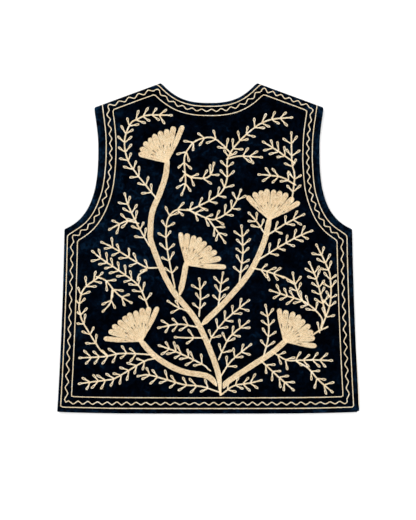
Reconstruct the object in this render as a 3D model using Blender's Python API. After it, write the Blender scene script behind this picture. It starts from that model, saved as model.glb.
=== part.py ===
"""An embroidered folk vest of dark velvet, laid flat on its fronts with the back up.

The back panel lies on the two front panels. They meet at pressed folds along the sides and
the shoulders, where the seams run. The embroidery of the back is thick chain stitch, so its
flowers, stems and border lines stand proud of the velvet as solids of their own.
+X is to the right of someone looking down at the back, and +Y is towards the neck.
"""

import math

import bmesh
import bpy
import numpy as np
from mathutils import Matrix, Vector
from mathutils.bvhtree import BVHTree

MM = 0.001

# The outline as the vest lies: widths from edge to edge, and heights above the hem.
BODY_LENGTH = 509 * MM
HEM_WIDTH = 466 * MM
CHEST_WIDTH = 444 * MM
ACROSS_BACK = 340 * MM
SHOULDER_WIDTH = 351 * MM
NECK_WIDTH = 150 * MM
UNDERARM_HEIGHT = 282 * MM
ACROSS_HEIGHT = 410 * MM
SHOULDER_TIP_HEIGHT = 472 * MM
TOP_LEAN = 1 * MM
NECK_CENTRE = 2 * MM
BACK_NECK_DROP = 31 * MM
HEM_CORNER_RISE = 3 * MM
SIDE_BOW = 1.5 * MM

# The fronts, which the back hides: open down the middle, with a V neck.
FRONT_NECK_DROP = 200 * MM
FRONT_EDGE_GAP = 8 * MM
FRONT_ARMHOLE_EXTRA = 8 * MM
FRONT_HEM_LIFTS = (3 * MM, 1.2 * MM)

# The cloth, its pressed folds, and the turned edges of hem, neck, armholes and fronts.
CLOTH = 2.0 * MM
FOLD_RADIUS = 3.75 * MM
SEAM_GAP = 0.3 * MM
BACK_SINK = 2.2 * MM
SINK_REACH = 45 * MM
EDGE_BEAD = 0.7 * MM
EDGE_NOSE = 0.6 * MM

# How far the back panel turns round each fold before it meets the front, in radians. Along
# the right side the vest is laid a little rolled, so the seam climbs onto the top at the hem.
LEFT_SIDE_TURN = ((0.0, 2.2), (1.0, 2.2))
RIGHT_SIDE_TURN = ((0.0, 0.15), (0.4, 1.6), (1.0, 2.2))
SHOULDER_TURN = ((0.0, 1.45), (1.0, 1.45))

# Distances of the grid's lines from each edge, close together where the cloth turns.
FOLD_STEPS = tuple(d * MM for d in (0, 1.4, 3.0, 4.8, 6.8, 9.0, 13.0))
FREE_STEPS = tuple(d * MM for d in (0, 2.0, 4.5, 8.0, 13.0))

# Soft ridges in the back where it doesn't lie quite flat: middle, direction, size and rise.
RIDGES = (
    # x, y, degrees, half length, half width, rise, all but the angle in mm
    (-128, 38, -38, 95, 38, 1.7),
    (130, 52, 42, 100, 36, 1.5),
    (-20, 150, 8, 120, 40, 1.1),
    (-150, -150, 84, 105, 40, 1.4),
    (60, -60, 65, 110, 42, 1.2),
    (165, -165, 100, 90, 36, 1.6),
    (10, -215, 3, 90, 38, 0.9),
)

# The border: how far its three lines lie from each edge, and the size of its stitching.
BORDER_MARGINS = {
    # edge: (outer line, wave, inner line), each in mm at the start and the end of the edge
    "hem": ((7.5, 7.5), (15.0, 15.0), (24.0, 24.0)),
    "left side": ((5.2, 5.2), (12.8, 12.8), (20.8, 20.8)),
    "right side": ((8.6, 8.6), (16.4, 16.4), (24.0, 24.0)),
    "left armhole": ((12.5, 9.5), (19.8, 16.5), (27.5, 25.0)),
    "right armhole": ((11.5, 10.0), (18.8, 17.0), (26.5, 24.3)),
    "shoulder": (None, (6.2, 6.2), (13.5, 13.5)),
    "neck": ((4.8, 4.8), (11.0, 11.0), (19.0, 19.0)),
}
LINE_WIDTH = 2.2 * MM
LINE_HEIGHT = 0.8 * MM
LINE_STEP = 17 * MM
WAVE_LENGTH = 14.8 * MM
SIDE_WAVE_LENGTH = 18.2 * MM
WAVE_SWING = 2.0 * MM

# The flowering tree. Each stem grows from its first point, and all points are in mm.
STEM_WIDTH = 8.6 * MM
STEM_HEIGHT = 1.0 * MM
STEM_STEP = 11 * MM
STEMS = {
    "trunk": ((19, -222), (13, -185), (-17, -114), (-58, -60), (-86, 4), (-89, 30), (-86, 57),
              (-75, 84), (-66, 111), (-64, 130)),
    "stem_right": ((-11, -119), (30, -78), (65, -35), (86, 10), (94, 44)),
    "stem_middle": ((-44, -72), (-39, -50), (-35, -25)),
    "stem_low_left": ((14, -212), (-2, -197), (-42, -189), (-80, -168), (-103, -144)),
    "stem_low_right": ((19, -218), (31, -205), (64, -183), (98, -161), (116, -144)),
}

# Fan-shaped flowers: the foot in mm, the angles of the first and last petals, their number,
# and the lengths of the first, the middle and the last petals in mm.
FLOWERS = {
    "flower_top_left": ((-63, 131), 162, 68, 9, (48, 49, 64)),
    "flower_top_right": ((94, 43), 132, 31, 9, (51, 48, 55)),
    "flower_middle": ((-35, -26), 99, -2, 9, (51, 47.5, 63)),
    "flower_low_left": ((-102, -144), 175, 66, 10, (60, 47.5, 60)),
    "flower_low_right": ((116, -144), 98, -7, 9, (52, 47.5, 51)),
}
FLOWER_FOOT = 5.5 * MM
FLOWER_HEIGHT = 1.2 * MM
PETAL_NOTCH = 0.86

VELVET = ("velvet", (0.006, 0.012, 0.030, 1), 0.9)
THREAD = ("thread", (0.78, 0.62, 0.40, 1), 0.75)


def height(above_hem):
    """The Y of a height above the hem, with the middle of the vest at zero."""
    return above_hem - BODY_LENGTH / 2


def smoothstep(value):
    value = np.clip(value, 0, 1)
    return value * value * (3 - 2 * value)


def bezier(start, first_handle, second_handle, end, count=24):
    """Points along one cubic curve."""
    t = np.linspace(0, 1, count)[:, None]
    weights = ((1 - t) ** 3, 3 * t * (1 - t) ** 2, 3 * t * t * (1 - t), t**3)
    corners = (start, first_handle, second_handle, end)
    return sum(w * np.array(p, float) for w, p in zip(weights, corners))


def lengths(line):
    """Distance along a line to each of its points."""
    return np.concatenate([[0], np.cumsum(np.linalg.norm(np.diff(line, axis=0), axis=1))])


def at_fraction(line, fraction):
    """Points at these fractions of a line's length."""
    along = lengths(line)
    where = np.asarray(fraction, float) * along[-1]
    return np.stack([np.interp(where, along, line[:, k]) for k in (0, 1)], axis=-1)


def spaced(line, step):
    """The same line with points about a step apart."""
    count = max(2, round(lengths(line)[-1] / step) + 1)
    return at_fraction(line, np.linspace(0, 1, count))


def smooth_curve(points):
    """A dense smooth line through a few points."""
    p = np.array(points, float)
    p = np.vstack([2 * p[0] - p[1], p, 2 * p[-1] - p[-2]])
    t = np.linspace(0, 1, 16, endpoint=False)[:, None]
    line = []
    for a, b, c, d in zip(p, p[1:], p[2:], p[3:]):
        line.append(
            b
            + (c - a) * t / 2
            + (2 * a - 5 * b + 4 * c - d) * t * t / 2
            + (3 * b - a - 3 * c + d) * t**3 / 2
        )
    return np.vstack([*line, p[-2:-1]])


def tangents(line):
    """Unit directions along a line at its points."""
    way = np.gradient(line, axis=0)
    return way / np.linalg.norm(way, axis=1, keepdims=True)


def left_of(way):
    """Directions turned a quarter turn anticlockwise."""
    return np.stack([-way[..., 1], way[..., 0]], axis=-1)


def distance_to(points, line):
    """Shortest distance from each point to a line of short segments."""
    a, b = line[:-1], line[1:]
    way = b - a
    offset = points[..., None, :] - a
    along = np.clip((offset * way).sum(-1) / (way * way).sum(-1), 0, 1)
    return np.linalg.norm(offset - along[..., None] * way, axis=-1).min(-1)


class Fold:
    """A pressed fold between the back and a front, seen from above as the line of its brink.

    Cloth lies flat up to one fold radius inside the brink, and past that it turns round.
    """

    def __init__(self, brink_start, brink_end, outward, turn, bow=0.0):
        start, end = np.array(brink_start, float), np.array(brink_end, float)
        self.length = np.linalg.norm(end - start)
        self.way = (end - start) / self.length
        self.out = left_of(self.way)
        if self.out @ np.array(outward, float) < 0:
            self.out = -self.out
        self.start = start - self.out * FOLD_RADIUS
        self.turn, self.bow = turn, bow

    def hollow(self, fraction):
        return self.bow * 4 * fraction * (1 - fraction)

    def beyond(self, flat):
        """How far each point of the flat cloth lies past the line where the turn starts."""
        offset = flat - self.start
        fraction = np.clip(offset @ self.way / self.length, 0, 1)
        return offset @ self.out + self.hollow(fraction)

    def seam(self, fraction, from_below=False):
        """Where the flat cloth ends, at the seam, for the back or for a front."""
        fraction = np.asarray(fraction, float)
        turn = np.interp(fraction, *zip(*self.turn))
        if from_below:
            turn = math.pi - turn
        turn = turn - 0.5 * SEAM_GAP / (FOLD_RADIUS - CLOTH)
        out = FOLD_RADIUS * turn - self.hollow(fraction)
        along = self.way * (fraction * self.length)[..., None]
        return self.start + along + self.out * out[..., None]


def mirrored(points, side):
    """Points given for the left half, moved to the side wanted: -1 is left and 1 is right."""
    return [(-side * x, y) for x, y in points]


def side_fold(side, turn):
    hem = (-HEM_WIDTH / 2, height(HEM_CORNER_RISE))
    underarm = (-CHEST_WIDTH / 2, height(UNDERARM_HEIGHT))
    return Fold(*mirrored((hem, underarm), side), (side, 0), turn, SIDE_BOW)


def shoulder_fold(side):
    tip = (-SHOULDER_WIDTH / 2 - side * TOP_LEAN, height(SHOULDER_TIP_HEIGHT))
    neck = (-NECK_WIDTH / 2 - side * TOP_LEAN, height(BODY_LENGTH))
    return Fold(*mirrored((tip, neck), side), (0, 1), SHOULDER_TURN)


SIDES = {-1: side_fold(-1, LEFT_SIDE_TURN), 1: side_fold(1, RIGHT_SIDE_TURN)}
SHOULDERS = {-1: shoulder_fold(-1), 1: shoulder_fold(1)}
FOLDS = (*SIDES.values(), *SHOULDERS.values())


def armhole(side, extra=0.0, from_below=False):
    """The cut edge from the underarm to the tip of the shoulder."""
    underarm = SIDES[side].seam(1.0, from_below)
    tip = SHOULDERS[side].seam(0.0, from_below)
    across = (side * (ACROSS_BACK / 2 - extra) + TOP_LEAN, height(ACROSS_HEIGHT))
    lower = bezier(
        underarm,
        underarm + np.array((-side * (56 * MM + extra), 17.5 * MM)),
        (across[0], across[1] - 43 * MM),
        across,
    )
    upper = bezier(across, (across[0], across[1] + 28 * MM), tip - np.array((0, 12 * MM)), tip)
    return np.vstack([lower, upper[1:]])


def back_neck():
    left, right = SHOULDERS[-1].seam(1.0), SHOULDERS[1].seam(1.0)
    low = np.array((NECK_CENTRE, height(BODY_LENGTH - BACK_NECK_DROP)))
    down, across = np.array((24 * MM, -27 * MM)), np.array((32 * MM, 0))
    first = bezier(left, left + down, low - across, low)
    second = bezier(low, low + across, right + down * (-1, 1), right)
    return np.vstack([first, second[1:]])


def hem_line(first_end, last_end, lifts=(0.0, 0.0)):
    """The hem from end to end, a little lower in the middle of the vest."""
    x = np.linspace(first_end[0], last_end[0], 40)
    bend = np.abs(x / (HEM_WIDTH / 2)) ** 4
    return np.column_stack([x, height(HEM_CORNER_RISE * bend + np.linspace(*lifts, 40))])


class Patch:
    """A flat four-sided cloth pattern between a bottom, a top and two upright edges."""

    def __init__(self, bottom, top, left, right):
        self.bottom, self.top, self.left, self.right = bottom, top, left, right

    def points(self, u, v):
        """Points at fractions u across and v up."""
        u, v = u[..., None], v[..., None]
        low, high = self.bottom(u[..., 0]), self.top(u[..., 0])
        left, right = self.left(v[..., 0]), self.right(v[..., 0])
        corner = [f(np.array(e)) for f in (self.bottom, self.top) for e in (0.0, 1.0)]
        flat = (1 - u) * (1 - v) * corner[0] + u * (1 - v) * corner[1]
        flat = flat + (1 - u) * v * corner[2] + u * v * corner[3]
        return (1 - v) * low + v * high + (1 - u) * left + u * right - flat


def chained(parts, stops):
    """One edge made of several lines, each covering its own share of the fractions."""

    def at(fraction):
        fraction = np.asarray(fraction, float)
        found = np.zeros((*fraction.shape, 2))
        for line, low, high in zip(parts, stops, stops[1:]):
            inside = (fraction >= low) & (fraction <= high)
            local = np.clip((fraction - low) / (high - low), 0, 1)
            found = np.where(inside[..., None], at_fraction(line, local), found)
        return found

    return at


def grid_fractions(near_start, near_end, stops, span):
    """Fractions across a span: fixed distances from each end, and shares of what is between.

    The span may be an array, and the fractions then get one more axis.
    """
    span = np.asarray(span, float)[..., None]
    start, end = np.array(near_start) / span, 1 - np.array(near_end)[::-1] / span
    between = start[..., -1:] + (end[..., :1] - start[..., -1:]) * np.array(stops)[1:-1]
    return np.concatenate([start, between, end], axis=-1)


UNDERARM_STOP = 0.52
NECK_STOP = 0.29
UPRIGHT_STOPS = (*np.linspace(0, UNDERARM_STOP, 8)[:-1], *np.linspace(UNDERARM_STOP, 1, 11))
ACROSS_STOPS = (
    *np.linspace(0, NECK_STOP, 6)[:-1],
    *np.linspace(NECK_STOP, 1 - NECK_STOP, 8)[:-1],
    *np.linspace(1 - NECK_STOP, 1, 6),
)


def back_pattern():
    """The back's flat grid, and the free edges that are turned in."""
    sides = {s: SIDES[s].seam(np.linspace(0, 1, 12)) for s in (-1, 1)}
    armholes = {s: armhole(s) for s in (-1, 1)}
    hem, neck = hem_line(sides[-1][0], sides[1][0]), back_neck()
    sides[-1][0], sides[1][0] = hem[0], hem[-1]
    shoulders = {s: SHOULDERS[s].seam(np.linspace(0, 1, 12)) for s in (-1, 1)}
    rise = UNDERARM_STOP
    patch = Patch(
        chained([hem], (0, 1)),
        chained([shoulders[-1], neck, shoulders[1][::-1]], (0, NECK_STOP, 1 - NECK_STOP, 1)),
        chained([sides[-1], armholes[-1]], (0, rise, 1)),
        chained([sides[1], armholes[1]], (0, rise, 1)),
    )
    u = grid_fractions(FOLD_STEPS, FOLD_STEPS, ACROSS_STOPS, CHEST_WIDTH)
    v = grid_fractions(FREE_STEPS, FOLD_STEPS, UPRIGHT_STOPS, BODY_LENGTH)
    u[np.abs(u - NECK_STOP).argmin()] = NECK_STOP
    u[np.abs(u - 1 + NECK_STOP).argmin()] = 1 - NECK_STOP
    v[np.abs(v - rise).argmin()] = rise
    grid = patch.points(*np.meshgrid(u, v))
    free = [hem, neck, *armholes.values()]
    return grid, free, nose_mask(u, v, ("bottom", "neck", "left", "right"))


def front_pattern(side):
    """One front's flat grid, from its open edge to its side, and its free edges."""
    seam = SIDES[side].seam(np.linspace(0, 1, 12), from_below=True)
    hole = armhole(side, FRONT_ARMHOLE_EXTRA, from_below=True)
    shoulder = SHOULDERS[side].seam(np.linspace(0, 1, 12), from_below=True)
    neck_foot = np.array((side * FRONT_EDGE_GAP / 2, height(BODY_LENGTH - FRONT_NECK_DROP)))
    edge_foot = np.array((neck_foot[0], height(FRONT_HEM_LIFTS[0])))
    neck_top = shoulder[-1]
    neckline = bezier(
        neck_foot,
        neck_foot + np.array((side * 6 * MM, 70 * MM)),
        neck_top + np.array((-side * 12 * MM, -90 * MM)),
        neck_top,
    )
    hem = hem_line(edge_foot, seam[0], FRONT_HEM_LIFTS)
    seam[0] = hem[-1]
    open_edge = np.array([hem[0], neck_foot])
    rise = UNDERARM_STOP
    patch = Patch(
        chained([hem], (0, 1)),
        chained([shoulder[::-1]], (0, 1)),
        chained([open_edge, neckline], (0, rise, 1)),
        chained([seam, hole], (0, rise, 1)),
    )
    u = grid_fractions(FREE_STEPS, FOLD_STEPS, np.linspace(0, 1, 6), CHEST_WIDTH / 2)
    v = grid_fractions(FREE_STEPS, FOLD_STEPS, UPRIGHT_STOPS, BODY_LENGTH)
    v[np.abs(v - rise).argmin()] = rise
    grid = patch.points(*np.meshgrid(u, v))
    return grid, [hem, open_edge, neckline, hole], nose_mask(u, v, ("bottom", "left all", "right"))


def nose_mask(u, v, edges):
    """Where the rim of a grid is a turned, rounded edge (1) and where it is a seam (0)."""
    mask = np.zeros((len(v), len(u)))
    upper = v > UNDERARM_STOP + 0.01
    if "bottom" in edges:
        mask[0, 1:-1] = 1
    if "neck" in edges:
        mask[-1, (u > NECK_STOP + 0.01) & (u < 1 - NECK_STOP - 0.01)] = 1
    if "left" in edges:
        mask[upper, 0] = 1
    if "left all" in edges:
        mask[1:-1, 0] = 1
    if "right" in edges:
        mask[upper, -1] = 1
    mask[-1, 0] = mask[-1, -1] = 0
    return mask


def back_height(flat):
    """How high the outside of the back lies above the floor, away from its folds."""
    inside = np.min([-fold.beyond(flat) for fold in FOLDS], axis=0)
    settled = smoothstep(inside / SINK_REACH)
    level = 2 * FOLD_RADIUS - BACK_SINK * settled
    for x, y, degrees, long, wide, rise in RIDGES:
        way = np.array((math.cos(math.radians(degrees)), math.sin(math.radians(degrees))))
        offset = flat - np.array((x, y)) * MM
        along, across = offset @ way, offset @ left_of(way)
        bump = np.exp(-((along / (long * MM)) ** 2) - (across / (wide * MM)) ** 2)
        level = level + rise * MM * bump * settled
    return level


def edge_bead(flat, free_edges):
    """The soft thickness that the turned-in cloth gives a free edge, away from the folds."""
    away = np.min([distance_to(flat, line) for line in free_edges], axis=0) / MM
    inside = np.min([-fold.beyond(flat) for fold in FOLDS], axis=0)
    bead = smoothstep(away / 2.5) * (1 - smoothstep((away - 4) / 5))
    return EDGE_BEAD * bead * smoothstep(inside / (4 * MM))


def turned(flat, depth, level, from_below):
    """The flat cloth wrapped round the folds, at a depth inside its outer face."""
    plan, angle = flat.copy(), np.zeros(flat.shape[:-1])
    for fold in FOLDS:
        past = np.maximum(fold.beyond(flat), 0)
        swing = past / FOLD_RADIUS
        reach = (FOLD_RADIUS - depth) * np.sin(swing)
        plan = plan + fold.out * (reach - past)[..., None]
        angle = angle + swing
    rise = (FOLD_RADIUS - depth) * np.cos(angle)
    z = FOLD_RADIUS - rise if from_below else level - FOLD_RADIUS + rise
    return np.concatenate([plan, z[..., None]], axis=-1)


def on_fold_line(flat):
    """The flat points moved back to where the turn starts, which sets their level."""
    for fold in FOLDS:
        flat = flat - fold.out * np.maximum(fold.beyond(flat), 0)[..., None]
    return flat


def finish_object(name, points, faces, material):
    """A mesh object with its faces pointing out, shaded smooth but for its sharp rims."""
    mesh = bpy.data.meshes.new(name)
    mesh.from_pydata([tuple(p) for p in points], [], faces)
    builder = bmesh.new()
    builder.from_mesh(mesh)
    bmesh.ops.recalc_face_normals(builder, faces=builder.faces)
    builder.to_mesh(mesh)
    builder.free()
    mesh.shade_smooth()
    mesh.set_sharp_from_angle(angle=math.radians(50))
    mesh.materials.append(material)
    made = bpy.data.objects.new(name, mesh)
    bpy.context.scene.collection.objects.link(made)
    return made


def shell(name, outer, inner, nose, material):
    """A cloth wall between an outer and an inner grid, closed round its rim."""
    rows, columns = outer.shape[:2]
    index = np.arange(rows * columns).reshape(rows, columns)
    faces = []
    for shift, flip in ((0, 1), (rows * columns, -1)):
        low = np.stack([index[:-1, :-1], index[:-1, 1:], index[1:, 1:], index[1:, :-1]], -1)
        faces += [tuple(int(i) + shift for i in q)[::flip] for q in low.reshape(-1, 4)]
    ring = [(0, i) for i in range(columns)] + [(j, columns - 1) for j in range(1, rows)]
    ring += [(rows - 1, i) for i in range(columns - 2, -1, -1)]
    ring += [(j, 0) for j in range(rows - 2, 0, -1)]
    rim = []
    for j, i in ring:
        inward = (min(max(j, 1), rows - 2), min(max(i, 1), columns - 2))
        out = outer[j, i] - outer[inward]
        out /= np.linalg.norm(out)
        rim.append((outer[j, i] + inner[j, i]) / 2 + out * EDGE_NOSE * nose[j, i])
    first = 2 * rows * columns
    for k, here in enumerate(ring):
        after = (k + 1) % len(ring)
        a, b = int(index[here]), int(index[ring[after]])
        c, d = a + rows * columns, b + rows * columns
        faces.append((a, b, first + after, first + k))
        faces.append((first + k, first + after, d, c))
    points = np.vstack([outer.reshape(-1, 3), inner.reshape(-1, 3), rim])
    return finish_object(name, points, faces, material)


def make_back(material):
    flat, free, nose = back_pattern()
    level = back_height(on_fold_line(flat))
    outer = turned(flat, 0.0, level + edge_bead(flat, free), from_below=False)
    inner = turned(flat, CLOTH, level, from_below=False)
    return shell("back", outer, inner, nose, material)


def make_front(name, side, material):
    flat, free, nose = front_pattern(side)
    outer = turned(flat, 0.0, 0.0, from_below=True)
    inner = turned(flat, CLOTH, 0.0, from_below=True)
    inner[..., 2] += edge_bead(flat, free) * 0.6
    return shell(name, outer, inner, nose, material)


class Cloth:
    """Finds the height of the back's upper face, so that stitching can lie on it."""

    def __init__(self, panel):
        self.tree = BVHTree.FromObject(panel, bpy.context.evaluated_depsgraph_get())

    def height(self, point):
        start = Vector((point[0], point[1], 50 * MM))
        hit, _, _, _ = self.tree.ray_cast(start, Vector((0, 0, -1)))
        return hit.z

    def clear_of(self, line, closed=False):
        """Heights at which straight pieces from point to point of a line clear the cloth."""
        before = np.vstack([line[-1:] if closed else line[:1], line[:-1]])
        after = np.vstack([line[1:], line[:1] if closed else line[-1:]])
        spots = [line]
        for share in (0.12, 0.25, 0.38, 0.5):
            spots += [line + (before - line) * share, line + (after - line) * share]
        return SEAM_GAP + np.max([[self.height(p) for p in spot] for spot in spots], axis=0)


def ribbon(name, cloth, left, right, rise, material, closed=False, crown=0.0):
    """A raised line of stitching between two edges, flat beneath and crowned on top."""
    points, width = [], 5 if crown else 4
    low_left, low_right = cloth.clear_of(left, closed), cloth.clear_of(right, closed)
    middle = cloth.clear_of((left + right) / 2, closed)
    lift = np.maximum(middle - (low_left + low_right) / 2, 0)
    for a, b, low_a, low_b in zip(left, right, low_left + lift, low_right + lift):
        points += [(*a, low_a), (*b, low_b), (*b, low_b + rise)]
        if crown:
            points.append((*(a + b) / 2, (low_a + low_b) / 2 + rise + crown))
        points.append((*a, low_a + rise))
    count, faces = len(left), []
    for k in range(count if closed else count - 1):
        here, after = k * width, (k + 1) % count * width
        for i in range(width):
            j = (i + 1) % width
            faces.append((here + i, here + j, after + j, after + i))
    if not closed:
        faces.append(tuple(range(width)))
        faces.append(tuple(range((count - 1) * width, count * width)))
    return finish_object(name, points, faces, material)


def edges_of(line, width, closed=False):
    """The two edges of a line of this width, mitred where the line turns a corner."""
    before = np.diff(np.vstack([line[-1:] if closed else 2 * line[:1] - line[1:2], line]), axis=0)
    after = np.diff(np.vstack([line, line[:1] if closed else 2 * line[-1:] - line[-2:-1]]), axis=0)
    first, second = (left_of(w / np.linalg.norm(w, axis=1, keepdims=True)) for w in (before, after))
    out = (first + second) / (1 + (first * second).sum(axis=1, keepdims=True))
    return line + out * width / 2, line - out * width / 2


def clear_start(line, other, keep):
    """The part of a line that lies at least this far from another line."""
    dense = spaced(line, 0.2 * MM)
    far = distance_to(dense, other) >= keep
    return dense[int(np.argmax(far)):]


def make_stem(name, cloth, material, grows_from=None):
    """One stem, its foot cut slantwise where it leaves the stem that it grows from."""
    line = spaced(smooth_curve(np.array(STEMS[name]) * MM), 1 * MM)
    left, right = edges_of(line, STEM_WIDTH)
    for trunk in grows_from or ():
        main = smooth_curve(np.array(STEMS[trunk]) * MM)
        keep = STEM_WIDTH / 2 + SEAM_GAP
        left, right = clear_start(left, main, keep), clear_start(right, main, keep)
    count = max(3, round(lengths(line)[-1] / STEM_STEP))
    fractions = np.linspace(0, 1, count)
    left, right = at_fraction(left, fractions), at_fraction(right, fractions)
    return ribbon(name, cloth, left, right, STEM_HEIGHT * 0.6, material, crown=STEM_HEIGHT * 0.4)


def make_flower(name, cloth, material):
    """A fan of rounded petals, each with a ridge along its middle."""
    foot, first, last, petals, (early, middle, late) = FLOWERS[name]
    foot = np.array(foot) * MM
    share = np.linspace(0, 1, 4 * petals + 1)
    step = math.radians(last - first) / (petals - 1)
    angle = math.radians(first) - step / 2 + share * step * petals
    order = np.clip((share * petals - 0.5) / (petals - 1), 0, 1)
    reach = (middle + (early - middle) * (1 - order) ** 4 + (late - middle) * order**4) * MM
    place = np.arange(4 * petals + 1) % 4
    round_tip = np.choose(place, (PETAL_NOTCH, 0.975, 1.0, 0.975))
    crest = np.choose(place, (0.45, 0.8, 1.0, 0.8))
    radius = np.stack([np.full(len(angle), FLOWER_FOOT), reach * 0.6, reach * round_tip])
    tall = FLOWER_HEIGHT * np.outer((0.75, 1.0, 0.85), crest)
    way = np.stack([np.cos(angle), np.sin(angle)], axis=-1)
    flat = foot + radius[..., None] * way
    low = np.stack([cloth.clear_of(flat[:, i]) for i in range(len(angle))], axis=1)
    under = [(*p, z) for p, z in zip(flat.reshape(-1, 2), low.ravel())]
    top = [(*p, z) for p, z in zip(flat.reshape(-1, 2), (low + tall).ravel())]
    rows, columns = radius.shape
    index = np.arange(rows * columns).reshape(rows, columns)
    faces = []
    for j in range(rows - 1):
        for i in range(columns - 1):
            q = (index[j, i], index[j, i + 1], index[j + 1, i + 1], index[j + 1, i])
            faces.append(tuple(int(k) for k in q))
            faces.append(tuple(int(k) + len(top) for k in q[::-1]))
    ring = [*index[0], *index[1:, -1], *index[-1, -2::-1], *index[-2:0:-1, 0]]
    for a, b in zip(ring, ring[1:] + ring[:1]):
        faces.append((int(a), int(b), int(b) + len(top), int(a) + len(top)))
    return finish_object(name, top + under, faces, material)


def crossing(first, second):
    """Where one line crosses another: the place along each, in segments, and the point."""
    for i in range(len(first) - 1):
        p, r = first[i], first[i + 1] - first[i]
        for j in range(len(second) - 1):
            q, s = second[j], second[j + 1] - second[j]
            area = r[0] * s[1] - r[1] * s[0]
            if abs(area) < 1e-12:
                continue
            gap = q - p
            t = (gap[0] * s[1] - gap[1] * s[0]) / area
            w = (gap[0] * r[1] - gap[1] * r[0]) / area
            if 0 <= t <= 1 and 0 <= w <= 1:
                return i, j, p + t * r
    return None


def border_edges():
    """The outline as the border follows it, anticlockwise: name, line and kind of edge."""
    brinks = {}
    for side, fold in SIDES.items():
        fraction = np.linspace(0, 1, 12)
        out = fold.out * (FOLD_RADIUS - fold.hollow(fraction))[:, None]
        brinks[side] = fold.start + fold.way * (fraction * fold.length)[:, None] + out
    corners = {s: f.start + f.out * FOLD_RADIUS for s, f in SHOULDERS.items()}
    tips = {s: corners[s] + f.way * f.length for s, f in SHOULDERS.items()}
    hem = hem_line(brinks[-1][0], brinks[1][0])
    holes = {}
    for side in (-1, 1):
        hole = armhole(side)
        hole[0], hole[-1] = brinks[side][-1], corners[side]
        holes[side] = spaced(smooth_curve(hole[::6]), 4 * MM)
    neck = back_neck()
    neck[0], neck[-1] = tips[-1], tips[1]
    return (
        ("hem", hem),
        ("right side", brinks[1]),
        ("right armhole", holes[1]),
        ("shoulder", np.array([corners[1], tips[1]])),
        ("neck", neck[::-1]),
        ("shoulder", np.array([tips[-1], corners[-1]])),
        ("left armhole", holes[-1][::-1]),
        ("left side", brinks[-1][::-1]),
    )


def moved_in(line, margins):
    """A line of the outline moved inwards, and run on straight past both its ends."""
    along = lengths(line)
    margin = np.interp(along, (0, along[-1]), margins) * MM
    inner = line + left_of(tangents(line)) * margin[:, None]
    way = tangents(inner)
    return np.vstack([inner[0] - way[0] * 40 * MM, inner, inner[-1] + way[-1] * 40 * MM])


def border_stretches(which, chosen=None):
    """One line of the border as stretches, each trimmed where it crosses the next.

    Without a choice of edges it is the closed ring round the whole back.
    """
    edges = border_edges()
    if chosen:
        edges = [edges[k] for k in chosen]
    lines = [moved_in(line, BORDER_MARGINS[kind][which]) for kind, line in edges]
    for k in range(-1 if chosen is None else 0, len(lines) - 1):
        i, j, corner = crossing(lines[k][::-1], lines[k + 1])
        lines[k] = np.vstack([lines[k][: len(lines[k]) - 1 - i], corner])
        lines[k + 1] = np.vstack([corner, lines[k + 1][j + 1 :]])
    return lines


def stepped(stretches, step):
    """One line through stretches that meet, with points at the corners and about a step apart."""
    pieces = [spaced(line, step) for line in stretches]
    return np.vstack([pieces[0][:1], *(piece[1:] for piece in pieces)])


def cut_at_shoulders(line):
    """The part of a line that lies clear of the turn of the shoulder folds."""
    dense = spaced(line, 1 * MM)
    past = np.max([fold.beyond(dense) for fold in SHOULDERS.values()], axis=0)
    return dense[past < -0.6 * MM]


def wave_line():
    """The crests and troughs of the wave, which is longer down the sides."""
    stretches = border_stretches(1)
    kinds = [kind for kind, line in border_edges()]
    long = np.array([lengths(stretch)[-1] for stretch in stretches])
    wave = np.array([SIDE_WAVE_LENGTH if "side" in kind else WAVE_LENGTH for kind in kinds])
    turns = np.concatenate([[0], np.cumsum(np.round(long / wave))])
    ends = np.concatenate([[0], np.cumsum(long)]) / long.sum()
    count = np.arange(2 * turns[-1])
    middle = at_fraction(np.vstack(stretches), np.interp(count / 2 + 0.25, turns, ends))
    out = left_of(tangents(np.vstack([middle[-1:], middle, middle[:1]])))[1:-1]
    return middle + out * np.where(count % 2, -WAVE_SWING, WAVE_SWING)[:, None]


def make_border(cloth, material):
    """Two plain lines and a wave between them, and the neck's own outer line."""
    inner = stepped(border_stretches(2), LINE_STEP)[:-1]
    edges = edges_of(inner, LINE_WIDTH, closed=True)
    ribbon("border_inner", cloth, *edges, LINE_HEIGHT, material, closed=True)
    stretches = border_stretches(0, (6, 7, 0, 1, 2))
    stretches[0] = cut_at_shoulders(stretches[0])
    stretches[-1] = cut_at_shoulders(stretches[-1])
    body = stepped(stretches, LINE_STEP)
    ribbon("border_outer", cloth, *edges_of(body, LINE_WIDTH), LINE_HEIGHT, material)
    neck = spaced(cut_at_shoulders(border_stretches(0, (4,))[0]), LINE_STEP)
    ribbon("border_neck", cloth, *edges_of(neck, LINE_WIDTH), LINE_HEIGHT, material)
    edges = edges_of(wave_line(), LINE_WIDTH, closed=True)
    ribbon("border_wave", cloth, *edges, LINE_HEIGHT, material, closed=True)


def make_material(name, colour, roughness):
    material = bpy.data.materials.new(name)
    material.use_nodes = True
    shader = material.node_tree.nodes["Principled BSDF"]
    shader.inputs["Base Color"].default_value = colour
    shader.inputs["Roughness"].default_value = roughness
    shader.inputs["Metallic"].default_value = 0.0
    return material


def centre_on_floor(pieces):
    """Moves everything so that the middle of its bounding box stands over the origin."""
    corners = np.array([v.co for piece in pieces for v in piece.data.vertices])
    low, high = corners.min(axis=0), corners.max(axis=0)
    move = Matrix.Translation((-(low[0] + high[0]) / 2, -(low[1] + high[1]) / 2, -low[2]))
    for piece in pieces:
        piece.data.transform(move)


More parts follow.
